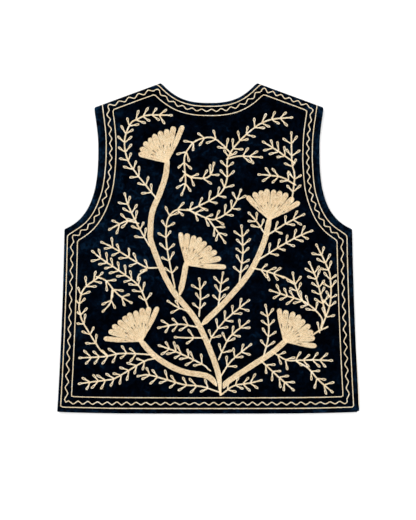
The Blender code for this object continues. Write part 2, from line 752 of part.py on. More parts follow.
def main():
    for old in list(bpy.data.objects):
        bpy.data.objects.remove(old)
    velvet, thread = make_material(*VELVET), make_material(*THREAD)
    back = make_back(velvet)
    make_front("front_left", -1, velvet)
    make_front("front_right", 1, velvet)
    cloth = Cloth(back)
    make_stem("trunk", cloth, thread)
    for name in ("stem_right", "stem_middle", "stem_low_left", "stem_low_right"):
        make_stem(name, cloth, thread, grows_from=("trunk",))
    for name in FLOWERS:
        make_flower(name, cloth, thread)
    make_border(cloth, thread)
    centre_on_floor(list(bpy.data.objects))


main()
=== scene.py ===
# %% [markdown]
# # A velvet vest with chain-stitch embroidery, laid flat with its back up
# The real vest is three pieces of dark velvet: one back and two fronts, sewn along the sides
# and shoulders. Thick cream thread is worked over the back in rows of chain stitch, which make
# a flowering tree, small ferny sprigs and a wavy border. First we load the measured frame that
# every piece has to agree with.

# %% The frame and the tools
import math

import bmesh
import bpy
import numpy as np
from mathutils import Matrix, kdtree


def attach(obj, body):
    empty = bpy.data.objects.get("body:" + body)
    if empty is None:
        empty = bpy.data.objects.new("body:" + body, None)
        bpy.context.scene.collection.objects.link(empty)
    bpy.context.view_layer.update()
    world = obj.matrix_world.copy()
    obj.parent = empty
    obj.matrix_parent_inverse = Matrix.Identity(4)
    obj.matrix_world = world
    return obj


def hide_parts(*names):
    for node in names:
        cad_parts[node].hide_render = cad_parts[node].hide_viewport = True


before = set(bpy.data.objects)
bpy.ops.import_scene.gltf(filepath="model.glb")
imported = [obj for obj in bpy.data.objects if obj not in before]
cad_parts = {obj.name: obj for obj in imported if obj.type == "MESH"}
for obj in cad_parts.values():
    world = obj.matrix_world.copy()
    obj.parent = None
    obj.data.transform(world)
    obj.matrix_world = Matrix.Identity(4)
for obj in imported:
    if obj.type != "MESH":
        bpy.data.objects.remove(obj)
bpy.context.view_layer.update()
MM = 0.001

# %% [markdown]
# ## The camera and the light
# The vest is seen from straight above, so that no side looks longer than it is. A long lens
# far away keeps the thickness of the folds from leaning outwards. Velvet is nearly black from
# the front and only lights up where its pile turns away, so the light is soft and wide, with
# one large lamp beyond the upper left to draw out the folds and a weak one opposite. The colours
# are shown as they are, without a film look, because one easily turns cream thread grey.

# %% The camera
VIEW_HEIGHT = 0.8008
VIEW_CENTRE = (-0.0004, -0.0178)
LENS, SENSOR = 85.0, 36.0

camera = bpy.data.objects.new("camera", bpy.data.cameras.new("camera"))
camera.data.lens, camera.data.sensor_width = LENS, SENSOR
camera.location = (*VIEW_CENTRE, VIEW_HEIGHT * LENS / SENSOR + 7 * MM)
bpy.context.scene.collection.objects.link(camera)
bpy.context.scene.camera = camera
bpy.context.scene.view_settings.view_transform = "Standard"
print("camera height:", round(camera.location.z, 3))


# %% The light
def add_lamp(name, place, aim, size, power):
    """A square soft lamp that shines from a place towards an aim."""
    lamp = bpy.data.objects.new(name, bpy.data.lights.new(name, "AREA"))
    lamp.data.size, lamp.data.energy = size, power
    lamp.location = place
    away = np.array(place, float) - np.array(aim, float)
    flat = math.hypot(away[0], away[1])
    lamp.rotation_euler = (math.atan2(flat, away[2]), 0, math.atan2(away[0], -away[1]))
    bpy.context.scene.collection.objects.link(lamp)


add_lamp("key_lamp", (-1.1, 1.2, 1.5), (0, 0, 0), 1.2, 22)
add_lamp("fill_lamp", (1.2, -0.9, 1.6), (0, 0, 0), 1.4, 8)
world = bpy.data.worlds.new("studio")
world.use_nodes = True
world.node_tree.nodes["Background"].inputs["Color"].default_value = (1, 1, 1, 1)
world.node_tree.nodes["Background"].inputs["Strength"].default_value = 1.2
bpy.context.scene.world = world

# %% [markdown]
# ## Writing materials as sums
# A material is a net of small nodes, and a net is hard to read in a script. A wrapper round a
# socket lets Python's own signs add the nodes, so that a mask reads like a sum. Everything
# else, from noise to colour mixing, comes from one method that takes a node's type, its
# settings and what goes into its sockets.


# %% A small shader language
class Value:
    """One output socket, which can be added, taken away, multiplied and raised."""

    def __init__(self, paint, socket):
        self.paint, self.socket = paint, socket

    def maths(self, operation, other, swapped=False):
        pair = (other, self) if swapped else (self, other)
        return self.paint.node("ShaderNodeMath", {"operation": operation}, {0: pair[0], 1: pair[1]})

    def __add__(self, other):
        return self.maths("ADD", other)

    def __sub__(self, other):
        return self.maths("SUBTRACT", other)

    def __rsub__(self, other):
        return self.maths("SUBTRACT", other, swapped=True)

    def __mul__(self, other):
        return self.maths("MULTIPLY", other)

    def __pow__(self, other):
        return self.maths("POWER", other)

    __radd__, __rmul__ = __add__, __mul__


class Paint:
    """One material and its nodes."""

    def __init__(self, name, **constants):
        self.material = bpy.data.materials.new(name)
        self.material.use_nodes = True
        self.tree = self.material.node_tree
        self.shader = self.tree.nodes["Principled BSDF"]
        for socket, value in constants.items():
            self.shader.inputs[socket.replace("_", " ")].default_value = value

    def fill(self, socket, value):
        if isinstance(value, Value):
            self.tree.links.new(value.socket, socket)
        else:
            socket.default_value = value

    def node(self, kind, settings=None, inputs=None, output=0):
        """A node of this kind, with its settings made first and its sockets filled after."""
        made = self.tree.nodes.new(kind)
        for name, value in (settings or {}).items():
            if name == "stops":
                ramp = made.color_ramp.elements
                for k, (place, colour) in enumerate(value):
                    stop = ramp[k] if k < 2 else ramp.new(place)
                    stop.position, stop.color = place, (*colour, 1)
            else:
                setattr(made, name, value)
        for name, value in (inputs or {}).items():
            self.fill(made.inputs[name], value)
        return Value(self, made.outputs[output])

    def noise(self, scale, detail=2.0, roughness=0.5, distortion=0.0, at=None):
        place = at or self.node("ShaderNodeTexCoord", output="Object")
        sockets = {"Vector": place, "Scale": scale, "Detail": detail}
        sockets |= {"Roughness": roughness, "Distortion": distortion}
        return self.node("ShaderNodeTexNoise", None, sockets)

    def ramp(self, value, *stops):
        return self.node("ShaderNodeValToRGB", {"stops": stops}, {"Fac": value})

    def blend_of(self, blending, share, first, second):
        """Two colours put together by a Mix node."""
        settings = {"data_type": "RGBA", "blend_type": blending}
        return self.node("ShaderNodeMix", settings, {0: share, 6: first, 7: second}, output=2)

    def surface(self, **looks):
        for socket, value in looks.items():
            self.fill(self.shader.inputs[socket.replace("_", " ")], value)

    def bump(self, height, distance, strength=1.0):
        sockets = {"Height": height, "Distance": distance, "Strength": strength}
        self.surface(Normal=self.node("ShaderNodeBump", None, sockets))


# %% [markdown]
# ## Velvet
# Velvet is a plain cloth with a dense standing pile. Looked at along the pile it swallows
# light, so the flat middle of the vest is nearly black. Where the cloth turns at a fold or an
# edge we see the sides of the hairs, and they shine a little: that is what a sheen layer does.
# Handling and folding brush the pile one way or another, in soft patches a few centimetres
# wide, and the brighter patches are a shade bluer. Fine grain in the bump stands for hairs. Two
# things depend on where on the vest we are, and both are painted sheen: a lighter, bluer pile
# along turned-in edges and folds, where the cloth turns, and a dozen wider patches of painted
# sheen. The cloth carries both as numbers on its points.

# %% The velvet
velvet = Paint(
    "midnight_velvet",
    Metallic=0.0,
    Sheen_Weight=0.03,
    Sheen_Roughness=0.35,
    Sheen_Tint=(0.25, 0.45, 0.80, 1),
    Specular_IOR_Level=0.004,
)
brushed = velvet.noise(44, 3, 0.6, 0.8)
crushed = velvet.noise(120, 4, 0.62, 1.2)
pile = velvet.noise(1500, 2, 0.7)
# painted sheen: lighter, bluer pile along turned-in edges and folds, and in a dozen wider patches
edge_sheen = velvet.node("ShaderNodeAttribute", {"attribute_name": "edge_sheen"}, output="Fac")
sheen_patches = velvet.node("ShaderNodeAttribute", {"attribute_name": "sheen_patches"}, output="Fac")
painted_sheen = edge_sheen * (crushed - 0.28) * 0.45 + sheen_patches * 0.09
patches = brushed * 0.42 + crushed * 0.58 + painted_sheen - 0.05
nap = velvet.ramp(
    patches,
    (0.40, (0.0000, 0.0002, 0.0010)),
    (0.53, (0.0003, 0.0018, 0.0048)),
    (0.61, (0.0013, 0.0065, 0.0160)),
    (0.72, (0.0038, 0.0160, 0.0370)),
)
flecks = velvet.ramp(pile, (0.40, (0.45, 0.45, 0.50)), (0.75, (1.6, 1.6, 1.6)))
velvet_colour = velvet.blend_of("MULTIPLY", 0.8, nap, flecks)
velvet.surface(Base_Color=velvet_colour, Roughness=0.98 - crushed * 0.18)
velvet.bump(pile * 0.35 + crushed * 0.9 + brushed * 0.8, 0.0009, 0.55)
print("velvet nodes:", len(velvet.tree.nodes))

# %% [markdown]
# ## Thread
# The thread is a soft cream cotton or silk with several strands twisted together. It isn't one
# colour: it has yellowed unevenly and gathered dust, and each stitch was pulled to its own
# tightness. Every stitch carries its own shade number, and a fine grain in the bump stands for
# the fibres.

# %% The thread
thread = Paint(
    "cream_thread",
    Metallic=0.0,
    Sheen_Weight=0.25,
    Sheen_Roughness=0.4,
    Sheen_Tint=(1.0, 0.93, 0.8, 1),
    Specular_IOR_Level=0.3,
)
# each stitch's own shade, raised by a painted highlight on rows that lie alone on the velvet
stitch_shade_and_highlight = thread.node("ShaderNodeAttribute", {"attribute_name": "shade"}, output="Fac")
soiling = thread.noise(38, 4, 0.65, 0.4)
fibres = thread.noise(2600, 2, 0.6)
thread_tone = stitch_shade_and_highlight * 0.58 + soiling * 0.42 + fibres * 0.16 - 0.04
cream = thread.ramp(
    thread_tone,
    (0.20, (0.58, 0.40, 0.23)),
    (0.46, (0.79, 0.61, 0.38)),
    (0.74, (0.84, 0.70, 0.48)),
    (0.95, (0.92, 0.82, 0.66)),
)
thread.surface(Base_Color=cream, Roughness=0.55 + fibres * 0.3)
thread.bump(fibres, 0.0003, 0.5)
print("thread nodes:", len(thread.tree.nodes))

# %% [markdown]
# ## The outline of the vest
# A tailor draws a pattern from a few measures, and so do we: widths, heights above the hem, and
# how deep the neck and armholes are cut. The curves between them are Bezier curves like those of
# a tailor's French curve. Along the sides and shoulders the cloth doesn't end, but turns round a
# pressed fold to the other side, so those edges are folds, with a seam somewhere on their turn.

# %% The measures
BODY_LENGTH = 509 * MM
HEM_WIDTH, CHEST_WIDTH, ACROSS_BACK = 466 * MM, 444 * MM, 340 * MM
SHOULDER_WIDTH, NECK_WIDTH, TOP_LEAN = 351 * MM, 150 * MM, 1 * MM
UNDERARM_HEIGHT, ACROSS_HEIGHT = 282 * MM, 410 * MM
SHOULDER_TIP_HEIGHT = 472 * MM
NECK_CENTRE, BACK_NECK_DROP = 2 * MM, 31 * MM
HEM_CORNER_RISE, SIDE_BOW = 3 * MM, 1.5 * MM
FRONT_NECK_DROP, FRONT_EDGE_GAP = 200 * MM, 8 * MM
FRONT_ARMHOLE_EXTRA, FRONT_HEM_LIFTS = 8 * MM, (3 * MM, 1.2 * MM)
# how far the handles of the curves reach: armholes from the underarm up, then the necklines
ARMHOLE_FOOT, ARMHOLE_DIP = (56 * MM, 17.5 * MM), 43 * MM
ARMHOLE_RISE, ARMHOLE_TIP = 28 * MM, (0, 12 * MM)
NECK_FOOT, NECK_FLAT = np.array((24 * MM, -27 * MM)), np.array((32 * MM, 0))
FRONT_NECK_LOW, FRONT_NECK_HIGH = (6 * MM, 70 * MM), (12 * MM, 90 * MM)
CLOTH, FOLD_RADIUS, SEAM_GAP = 2.0 * MM, 3.75 * MM, 0.3 * MM
BACK_SINK, SINK_REACH = 2.2 * MM, 45 * MM
EDGE_BEAD, EDGE_NOSE = 0.7 * MM, 0.6 * MM
LEFT_SIDE_TURN = ((0.0, 2.2), (1.0, 2.2))
RIGHT_SIDE_TURN = ((0.0, 0.15), (0.4, 1.6), (1.0, 2.2))
SHOULDER_TURN = ((0.0, 1.45), (1.0, 1.45))
FRAME_SHIFT = np.array((0.02, 0.29, 0.0)) * MM


# %% Lines and curves
def height(above_hem):
    """The Y of a height above the hem, with the middle of the vest at zero."""
    return above_hem - BODY_LENGTH / 2


def smoothstep(value):
    value = np.clip(value, 0, 1)
    return value * value * (3 - 2 * value)


def bezier(start, first_handle, second_handle, end, count=24):
    t = np.linspace(0, 1, count)[:, None]
    weights = ((1 - t) ** 3, 3 * t * (1 - t) ** 2, 3 * t * t * (1 - t), t**3)
    corners = (start, first_handle, second_handle, end)
    return sum(w * np.array(p, float) for w, p in zip(weights, corners))


def lengths(line):
    return np.concatenate([[0], np.cumsum(np.linalg.norm(np.diff(line, axis=0), axis=1))])


def at_fraction(line, fraction):
    along = lengths(line)
    where = np.asarray(fraction, float) * along[-1]
    return np.stack([np.interp(where, along, line[:, k]) for k in (0, 1)], axis=-1)


def spaced(line, step):
    count = max(2, round(lengths(line)[-1] / step) + 1)
    return at_fraction(line, np.linspace(0, 1, count))


def smooth_curve(points):
    """A dense smooth line through a few points."""
    p = np.array(points, float)
    p = np.vstack([2 * p[0] - p[1], p, 2 * p[-1] - p[-2]])
    t = np.linspace(0, 1, 12, endpoint=False)[:, None]
    line = []
    for a, b, c, d in zip(p, p[1:], p[2:], p[3:]):
        square = 2 * a - 5 * b + 4 * c - d
        line.append(b + (c - a) * t / 2 + square * t * t / 2 + (3 * b - a - 3 * c + d) * t**3 / 2)
    return np.vstack([*line, p[-2:-1]])


def tangents(line):
    way = np.gradient(line, axis=0)
    return way / np.maximum(np.linalg.norm(way, axis=1, keepdims=True), 1e-9)


def left_of(way):
    return np.stack([-way[..., 1], way[..., 0]], axis=-1)


def distance_to(points, line):
    """Shortest distance from each point to a line of short segments."""
    best = np.full(points.shape[:-1], np.inf)
    for a, b in zip(line, line[1:]):
        way = b - a
        offset = points - a
        along = np.clip(offset @ way / max(way @ way, 1e-12), 0, 1)
        best = np.minimum(best, np.linalg.norm(offset - along[..., None] * way, axis=-1))
    return best


# %% The folds
class Fold:
    """A pressed fold, seen from above as the line of its brink.

    Cloth lies flat up to one fold radius inside the brink, and past that it turns round.
    """

    def __init__(self, brink_start, brink_end, outward, turn, bow=0.0):
        start, end = np.array(brink_start, float), np.array(brink_end, float)
        self.length = np.linalg.norm(end - start)
        self.way = (end - start) / self.length
        self.out = left_of(self.way)
        if self.out @ np.array(outward, float) < 0:
            self.out = -self.out
        self.start = start - self.out * FOLD_RADIUS
        self.turn, self.bow = turn, bow

    def hollow(self, fraction):
        return self.bow * 4 * fraction * (1 - fraction)

    def beyond(self, flat):
        offset = flat - self.start
        fraction = np.clip(offset @ self.way / self.length, 0, 1)
        return offset @ self.out + self.hollow(fraction)

    def seam(self, fraction, from_below=False):
        """Where the flat cloth ends, at the seam, for the back or for a front."""
        fraction = np.asarray(fraction, float)
        turn = np.interp(fraction, *zip(*self.turn))
        if from_below:
            turn = math.pi - turn
        turn = turn - 0.5 * SEAM_GAP / (FOLD_RADIUS - CLOTH)
        out = FOLD_RADIUS * turn - self.hollow(fraction)
        along = self.way * (fraction * self.length)[..., None]
        return self.start + along + self.out * out[..., None]


def mirrored(points, side):
    return [(-side * x, y) for x, y in points]


def side_fold(side, turn):
    hem = (-HEM_WIDTH / 2, height(HEM_CORNER_RISE))
    underarm = (-CHEST_WIDTH / 2, height(UNDERARM_HEIGHT))
    return Fold(*mirrored((hem, underarm), side), (side, 0), turn, SIDE_BOW)


def shoulder_fold(side):
    tip = (-SHOULDER_WIDTH / 2 - side * TOP_LEAN, height(SHOULDER_TIP_HEIGHT))
    neck = (-NECK_WIDTH / 2 - side * TOP_LEAN, height(BODY_LENGTH))
    return Fold(*mirrored((tip, neck), side), (0, 1), SHOULDER_TURN)


SIDES = {-1: side_fold(-1, LEFT_SIDE_TURN), 1: side_fold(1, RIGHT_SIDE_TURN)}
SHOULDERS = {-1: shoulder_fold(-1), 1: shoulder_fold(1)}
FOLDS = (*SIDES.values(), *SHOULDERS.values())
print("side fold length:", round(SIDES[-1].length, 3))


# %% The cut edges
def armhole(side, extra=0.0, from_below=False):
    """The cut edge from the underarm to the tip of the shoulder."""
    underarm = SIDES[side].seam(1.0, from_below)
    tip = SHOULDERS[side].seam(0.0, from_below)
    across = (side * (ACROSS_BACK / 2 - extra) + TOP_LEAN, height(ACROSS_HEIGHT))
    foot = underarm + np.array((-side * (ARMHOLE_FOOT[0] + extra), ARMHOLE_FOOT[1]))
    lower = bezier(underarm, foot, (across[0], across[1] - ARMHOLE_DIP), across)
    upper = bezier(across, (across[0], across[1] + ARMHOLE_RISE), tip - np.array(ARMHOLE_TIP), tip)
    return np.vstack([lower, upper[1:]])


def back_neck():
    left, right = SHOULDERS[-1].seam(1.0), SHOULDERS[1].seam(1.0)
    low = np.array((NECK_CENTRE, height(BODY_LENGTH - BACK_NECK_DROP)))
    first = bezier(left, left + NECK_FOOT, low - NECK_FLAT, low)
    second = bezier(low, low + NECK_FLAT, right + NECK_FOOT * (-1, 1), right)
    return np.vstack([first, second[1:]])


def hem_line(first_end, last_end, lifts=(0.0, 0.0)):
    x = np.linspace(first_end[0], last_end[0], 40)
    bend = np.abs(x / (HEM_WIDTH / 2)) ** 4
    return np.column_stack([x, height(HEM_CORNER_RISE * bend + np.linspace(*lifts, 40))])


def front_outline(side):
    """A front's hem, side seam, armhole, shoulder seam and neckline, the last two upwards."""
    seam = SIDES[side].seam(np.linspace(0, 1, 30), from_below=True)
    hole = armhole(side, FRONT_ARMHOLE_EXTRA, from_below=True)
    shoulder = SHOULDERS[side].seam(np.linspace(0, 1, 12), from_below=True)
    neck_foot = np.array((side * FRONT_EDGE_GAP / 2, height(BODY_LENGTH - FRONT_NECK_DROP)))
    low_handle = neck_foot + np.array(FRONT_NECK_LOW) * (side, 1)
    high_handle = shoulder[-1] - np.array(FRONT_NECK_HIGH) * (side, 1)
    neckline = bezier(neck_foot, low_handle, high_handle, shoulder[-1])
    hem = hem_line(neck_foot, seam[0], FRONT_HEM_LIFTS)
    return hem, seam, hole, shoulder, neckline


# %% [markdown]
# ## A flat grid for each piece of cloth
# Cloth is made flat, so we lay out each piece as a flat grid first and bend it afterwards. A
# Coons patch blends the four edges of a pattern piece, so that the grid's lines follow the
# outline instead of cutting across it. The lines lie close together near the edges, where the
# cloth turns, and a few millimetres apart elsewhere.

# %% The flat grids
UNDERARM_STOP, NECK_STOP = 0.52, 0.29
EDGE_STEPS = np.array((0, 0.7, 1.5, 2.4, 3.4, 4.5, 5.7, 7.0, 8.4, 10.0, 12.5)) * MM
BACK_STEP, FRONT_STEP, CUT_STEP = 3.4 * MM, 6 * MM, 20 * MM


class Patch:
    """A flat four-sided cloth pattern between a bottom, a top and two upright edges."""

    def __init__(self, bottom, top, left, right):
        self.bottom, self.top, self.left, self.right = bottom, top, left, right

    def points(self, u, v):
        u, v = u[..., None], v[..., None]
        low, high = self.bottom(u[..., 0]), self.top(u[..., 0])
        left, right = self.left(v[..., 0]), self.right(v[..., 0])
        corner = [f(np.array(e)) for f in (self.bottom, self.top) for e in (0.0, 1.0)]
        flat = (1 - u) * (1 - v) * corner[0] + u * (1 - v) * corner[1]
        flat = flat + (1 - u) * v * corner[2] + u * v * corner[3]
        return (1 - v) * low + v * high + (1 - u) * left + u * right - flat


def chained(parts, stops):
    """One edge made of several lines, each covering its own share of the fractions."""

    def at(fraction):
        fraction = np.asarray(fraction, float)
        found = np.zeros((*fraction.shape, 2))
        for line, low, high in zip(parts, stops, stops[1:]):
            inside = (fraction >= low) & (fraction <= high)
            local = np.clip((fraction - low) / (high - low), 0, 1)
            found = np.where(inside[..., None], at_fraction(line, local), found)
        return found

    return at


def grid_fractions(span, step, *stops):
    """Fractions across a span, close near its ends, a step apart between, through the stops."""
    start, end = EDGE_STEPS / span, 1 - EDGE_STEPS[::-1] / span
    knots = (start[-1], *stops, end[0])
    between = [np.linspace(a, b, max(2, round((b - a) * span / step)) + 1)[:-1]
               for a, b in zip(knots, knots[1:])]
    return np.concatenate([start[:-1], *between, end])


def nose_mask(u, v, edges):
    """Where the rim of a grid is a turned, rounded edge (1) and where it is a seam (0)."""
    mask = np.zeros((len(v), len(u)))
    upper = v > UNDERARM_STOP + 0.004
    if "bottom" in edges:
        mask[0, 1:-1] = 1
    if "neck" in edges:
        mask[-1, (u > NECK_STOP + 0.004) & (u < 1 - NECK_STOP - 0.004)] = 1
    if "left" in edges:
        mask[upper, 0] = 1
    if "left all" in edges:
        mask[1:-1, 0] = 1
    if "right" in edges:
        mask[upper, -1] = 1
    mask[-1, 0] = mask[-1, -1] = 0
    return mask


def back_pattern(step):
    """The back's flat grid, its free edges, and where its rim is a turned edge."""
    sides = {s: SIDES[s].seam(np.linspace(0, 1, 30)) for s in (-1, 1)}
    armholes = {s: armhole(s) for s in (-1, 1)}
    hem, neck = hem_line(sides[-1][0], sides[1][0]), back_neck()
    sides[-1][0], sides[1][0] = hem[0], hem[-1]
    shoulders = {s: SHOULDERS[s].seam(np.linspace(0, 1, 12)) for s in (-1, 1)}
    patch = Patch(
        chained([hem], (0, 1)),
        chained([shoulders[-1], neck, shoulders[1][::-1]], (0, NECK_STOP, 1 - NECK_STOP, 1)),
        chained([sides[-1], armholes[-1]], (0, UNDERARM_STOP, 1)),
        chained([sides[1], armholes[1]], (0, UNDERARM_STOP, 1)),
    )
    u = grid_fractions(CHEST_WIDTH, step, NECK_STOP, 1 - NECK_STOP)
    v = grid_fractions(BODY_LENGTH, step, UNDERARM_STOP)
    free = [hem, neck, *armholes.values()]
    mask = nose_mask(u, v, ("bottom", "neck", "left", "right"))
    return patch.points(*np.meshgrid(u, v)), free, mask


def front_pattern(side, step):
    """The same for one front, from its open edge to its side."""
    hem, seam, hole, shoulder, neckline = front_outline(side)
    seam[0] = hem[-1]
    open_edge = np.array([hem[0], neckline[0]])
    patch = Patch(
        chained([hem], (0, 1)),
        chained([shoulder[::-1]], (0, 1)),
        chained([open_edge, neckline], (0, UNDERARM_STOP, 1)),
        chained([seam, hole], (0, UNDERARM_STOP, 1)),
    )
    u = grid_fractions(CHEST_WIDTH / 2, step)
    v = grid_fractions(BODY_LENGTH, step, UNDERARM_STOP)
    free = [hem, open_edge, neckline, hole]
    mask = nose_mask(u, v, ("bottom", "left all", "right"))
    return patch.points(*np.meshgrid(u, v)), free, mask


# %% [markdown]
# ## How the cloth lies
# Two layers of thick velvet don't press quite flat. The back is highest beside the folds and
# sinks towards the middle, with a few broad swells. Over these lie softer, narrower creases,
# put in where a vest that has been folded away keeps them: none is straight and no two
# are alike. Turned-in edges make a soft bead, and the heavy stitching pulls the velvet down.

# %% The lie of the cloth
RIDGES = (
    # x, y, degrees, half length, half width, rise, all but the angle in mm
    (-128, 38, -38, 95, 38, 1.7),
    (130, 52, 42, 100, 36, 1.5),
    (-20, 150, 8, 120, 40, 1.1),
    (-150, -150, 84, 105, 40, 1.4),
    (60, -60, 65, 110, 42, 1.2),
    (165, -165, 100, 90, 36, 1.6),
    (10, -215, 3, 90, 38, 0.9),
)
CREASES = (
    (-150, 20, -32, 60, 9, 0.55),
    (-172, -60, 70, 45, 8, -0.45),
    (-60, 95, 15, 55, 10, 0.35),
    (60, 160, -12, 60, 9, 0.40),
    (150, 60, 38, 58, 9, 0.55),
    (172, -30, 98, 50, 8, -0.40),
    (100, -110, 60, 60, 10, 0.35),
    (-20, -20, -60, 70, 12, 0.30),
    (-115, -125, 25, 50, 9, -0.30),
    (40, -190, 5, 70, 8, 0.35),
    (-150, -215, 8, 55, 7, 0.45),
    (175, -190, 80, 45, 8, 0.50),
    (-90, 190, -20, 40, 8, 0.35),
    (10, 60, 80, 60, 12, -0.30),
)


def swells(flat, table, curve):
    """The sum of long soft ridges and troughs, straight or curved."""
    total = np.zeros(flat.shape[:-1])
    for x, y, degrees, long, wide, rise in table:
        way = np.array((math.cos(math.radians(degrees)), math.sin(math.radians(degrees))))
        offset = flat - np.array((x, y)) * MM
        along, across = offset @ way, offset @ left_of(way)
        across = across + curve * along**2 / (6 * long * MM)
        total += rise * MM * np.exp(-((along / (long * MM)) ** 2) - (across / (wide * MM)) ** 2)
    return total


def crumple(flat):
    """Small uneven waves a few centimetres long, up to about a quarter of a millimetre high."""
    x, y = flat[..., 0] / MM, flat[..., 1] / MM
    waves = np.sin(x / 9.1 + 1.7 * np.sin(y / 31)) * np.sin(y / 10.7 + 1.3 * np.sin(x / 27))
    finer = np.sin(x / 4.3 + y / 6.1 + 1.1 * np.sin(y / 13)) * np.sin(y / 5.2 - x / 7.7)
    return (0.16 * waves + 0.07 * finer) * MM


def inside_folds(flat):
    return np.min([-fold.beyond(flat) for fold in FOLDS], axis=0)


def back_level(flat):
    """How high the outside of the back lies above the floor, away from its folds."""
    settled = smoothstep(inside_folds(flat) / SINK_REACH)
    fine = swells(flat, CREASES, curve=1) + crumple(flat)
    return 2 * FOLD_RADIUS + settled * (swells(flat, RIDGES, curve=0) - BACK_SINK + fine)


def edge_bead(flat, free_edges):
    """The soft, slightly uneven thickness of a turned-in edge, away from the folds."""
    away = np.min([distance_to(flat, line) for line in free_edges], axis=0) / MM
    bead = smoothstep(away / 2.5) * (1 - smoothstep((away - 4) / 4))
    uneven = 1 + 0.25 * np.sin(flat[..., 0] / (7 * MM) + 2 * np.sin(flat[..., 1] / (19 * MM)))
    return EDGE_BEAD * bead * uneven * smoothstep(inside_folds(flat) / (4 * MM))


def on_fold_line(flat):
    for fold in FOLDS:
        flat = flat - fold.out * np.maximum(fold.beyond(flat), 0)[..., None]
    return flat


def turned(flat, depth, level, from_below):
    """The flat cloth wrapped round the folds, at a depth inside its outer face."""
    plan, angle = flat.copy(), np.zeros(flat.shape[:-1])
    for fold in FOLDS:
        past = np.maximum(fold.beyond(flat), 0)
        swing = past / FOLD_RADIUS
        reach = (FOLD_RADIUS - depth) * np.sin(swing)
        plan = plan + fold.out * (reach - past)[..., None]
        angle = angle + swing
    rise = (FOLD_RADIUS - depth) * np.cos(angle)
    z = FOLD_RADIUS - rise if from_below else level - FOLD_RADIUS + rise
    return np.concatenate([plan, z[..., None]], axis=-1) + FRAME_SHIFT


print("creases:", len(CREASES), "broad swells:", len(RIDGES))

# %% [markdown]
# ## Planning the embroidery
# An embroiderer draws the design on the cloth before the first stitch. We do the same, and keep
# each row of chain stitch as a flat line with a width and a stitch length. The velvet is made
# after that, so that it can sink under the rows. The border comes first: two plain rows and a
# rounded zigzag between them, each at its own distance from the edge. The plain rows have longer
# stitches, because a straight row is quick work, and the zigzag needs short ones to turn.

# %% A row of stitches
STITCH_PULL = 0.35 * MM


class Row:
    """One line of chain stitch: where it runs, how wide and high it is, and a stitch's length."""

    def __init__(self, line, width, pitch, lift=0.0):
        self.line = np.asarray(line, float)
        self.width = width * np.ones(len(self.line))
        self.pitch, self.lift = pitch, lift


# %% The border's course
BORDER_MARGINS = {
    # edge: (outer row, wave, inner row), in mm inside it, or a pair where that changes along it
    "hem": (7.5, 15.0, 24.0),
    "left side": (5.2, 12.8, 20.8),
    "right side": (8.6, 16.4, 24.0),
    "left armhole": ((12.5, 9.5), (19.8, 16.5), (27.5, 25.0)),
    "right armhole": ((11.5, 10.0), (18.8, 17.0), (26.5, 24.3)),
    "shoulder": (None, 6.2, 13.5),
    "neck": (4.8, 11.0, 19.0),
    "front side": (2.4, 10.5, 18.5),
    "front shoulder": (3.0, 9.5, 17.0),
    "front armhole": (10.0, 17.0, 25.5),
    "front edge": (8.0, 15.0, 23.0),
}
ROW_WIDTH, ROW_PITCH, LONG_PITCH = 1.42 * MM, 2.5 * MM, 3.4 * MM
WAVE_LENGTH, SIDE_WAVE_LENGTH, WAVE_SWING = 14.8 * MM, 18.2 * MM, 2.0 * MM
RUN_ON, INNER_CORNER, OUTER_CORNER, WAVE_CORNER = 40 * MM, 1.6 * MM, 2 * MM, 4 * MM


def border_edges():
    """The back's outline as the border follows it, anticlockwise: kind of edge and line."""
    brinks = {}
    for side, fold in SIDES.items():
        fraction = np.linspace(0, 1, 30)
        out = fold.out * (FOLD_RADIUS - fold.hollow(fraction))[:, None]
        brinks[side] = fold.start + fold.way * (fraction * fold.length)[:, None] + out
    corners = {s: f.start + f.out * FOLD_RADIUS for s, f in SHOULDERS.items()}
    tips = {s: corners[s] + f.way * f.length for s, f in SHOULDERS.items()}
    hem = hem_line(brinks[-1][0], brinks[1][0])
    holes = {}
    for side in (-1, 1):
        hole = armhole(side)
        hole[0], hole[-1] = brinks[side][-1], corners[side]
        holes[side] = spaced(smooth_curve(hole[::6]), 4 * MM)
    neck = back_neck()
    neck[0], neck[-1] = tips[-1], tips[1]
    return (
        ("hem", hem),
        ("right side", brinks[1]),
        ("right armhole", holes[1]),
        ("shoulder", np.array([corners[1], tips[1]])),
        ("neck", neck[::-1]),
        ("shoulder", np.array([tips[-1], corners[-1]])),
        ("left armhole", holes[-1][::-1]),
        ("left side", brinks[-1][::-1]),
    )


def crossing(first, second):
    """Where one line first crosses another: the segments and the point."""
    for i in range(len(first) - 1):
        p, r = first[i], first[i + 1] - first[i]
        for j in range(len(second) - 1):
            q, s = second[j], second[j + 1] - second[j]
            area = r[0] * s[1] - r[1] * s[0]
            if abs(area) < 1e-12:
                continue
            gap = q - p
            t = (gap[0] * s[1] - gap[1] * s[0]) / area
            w = (gap[0] * r[1] - gap[1] * r[0]) / area
            if 0 <= t <= 1 and 0 <= w <= 1:
                return i, j, p + t * r
    return None


def moved_in(line, margins, side=1):
    """A line of the outline moved inwards, and run on straight past both its ends."""
    share = lengths(line) / lengths(line)[-1]
    margin = np.interp(share, (0, 1), np.broadcast_to(margins, 2) * MM)
    inner = line + left_of(tangents(line)) * side * margin[:, None]
    way = tangents(inner)
    return np.vstack([inner[0] - way[0] * RUN_ON, inner, inner[-1] + way[-1] * RUN_ON])


def border_stretches(edges, which, closed, side=1):
    """One line of the border as stretches, each trimmed where it crosses the next."""
    lines = [moved_in(line, BORDER_MARGINS[kind][which], side) for kind, line in edges]
    for k in range(-1 if closed else 0, len(lines) - 1):
        i, j, corner = crossing(lines[k][::-1], lines[k + 1])
        lines[k] = np.vstack([lines[k][: len(lines[k]) - 1 - i], corner])
        lines[k + 1] = np.vstack([corner, lines[k + 1][j + 1 :]])
    return lines


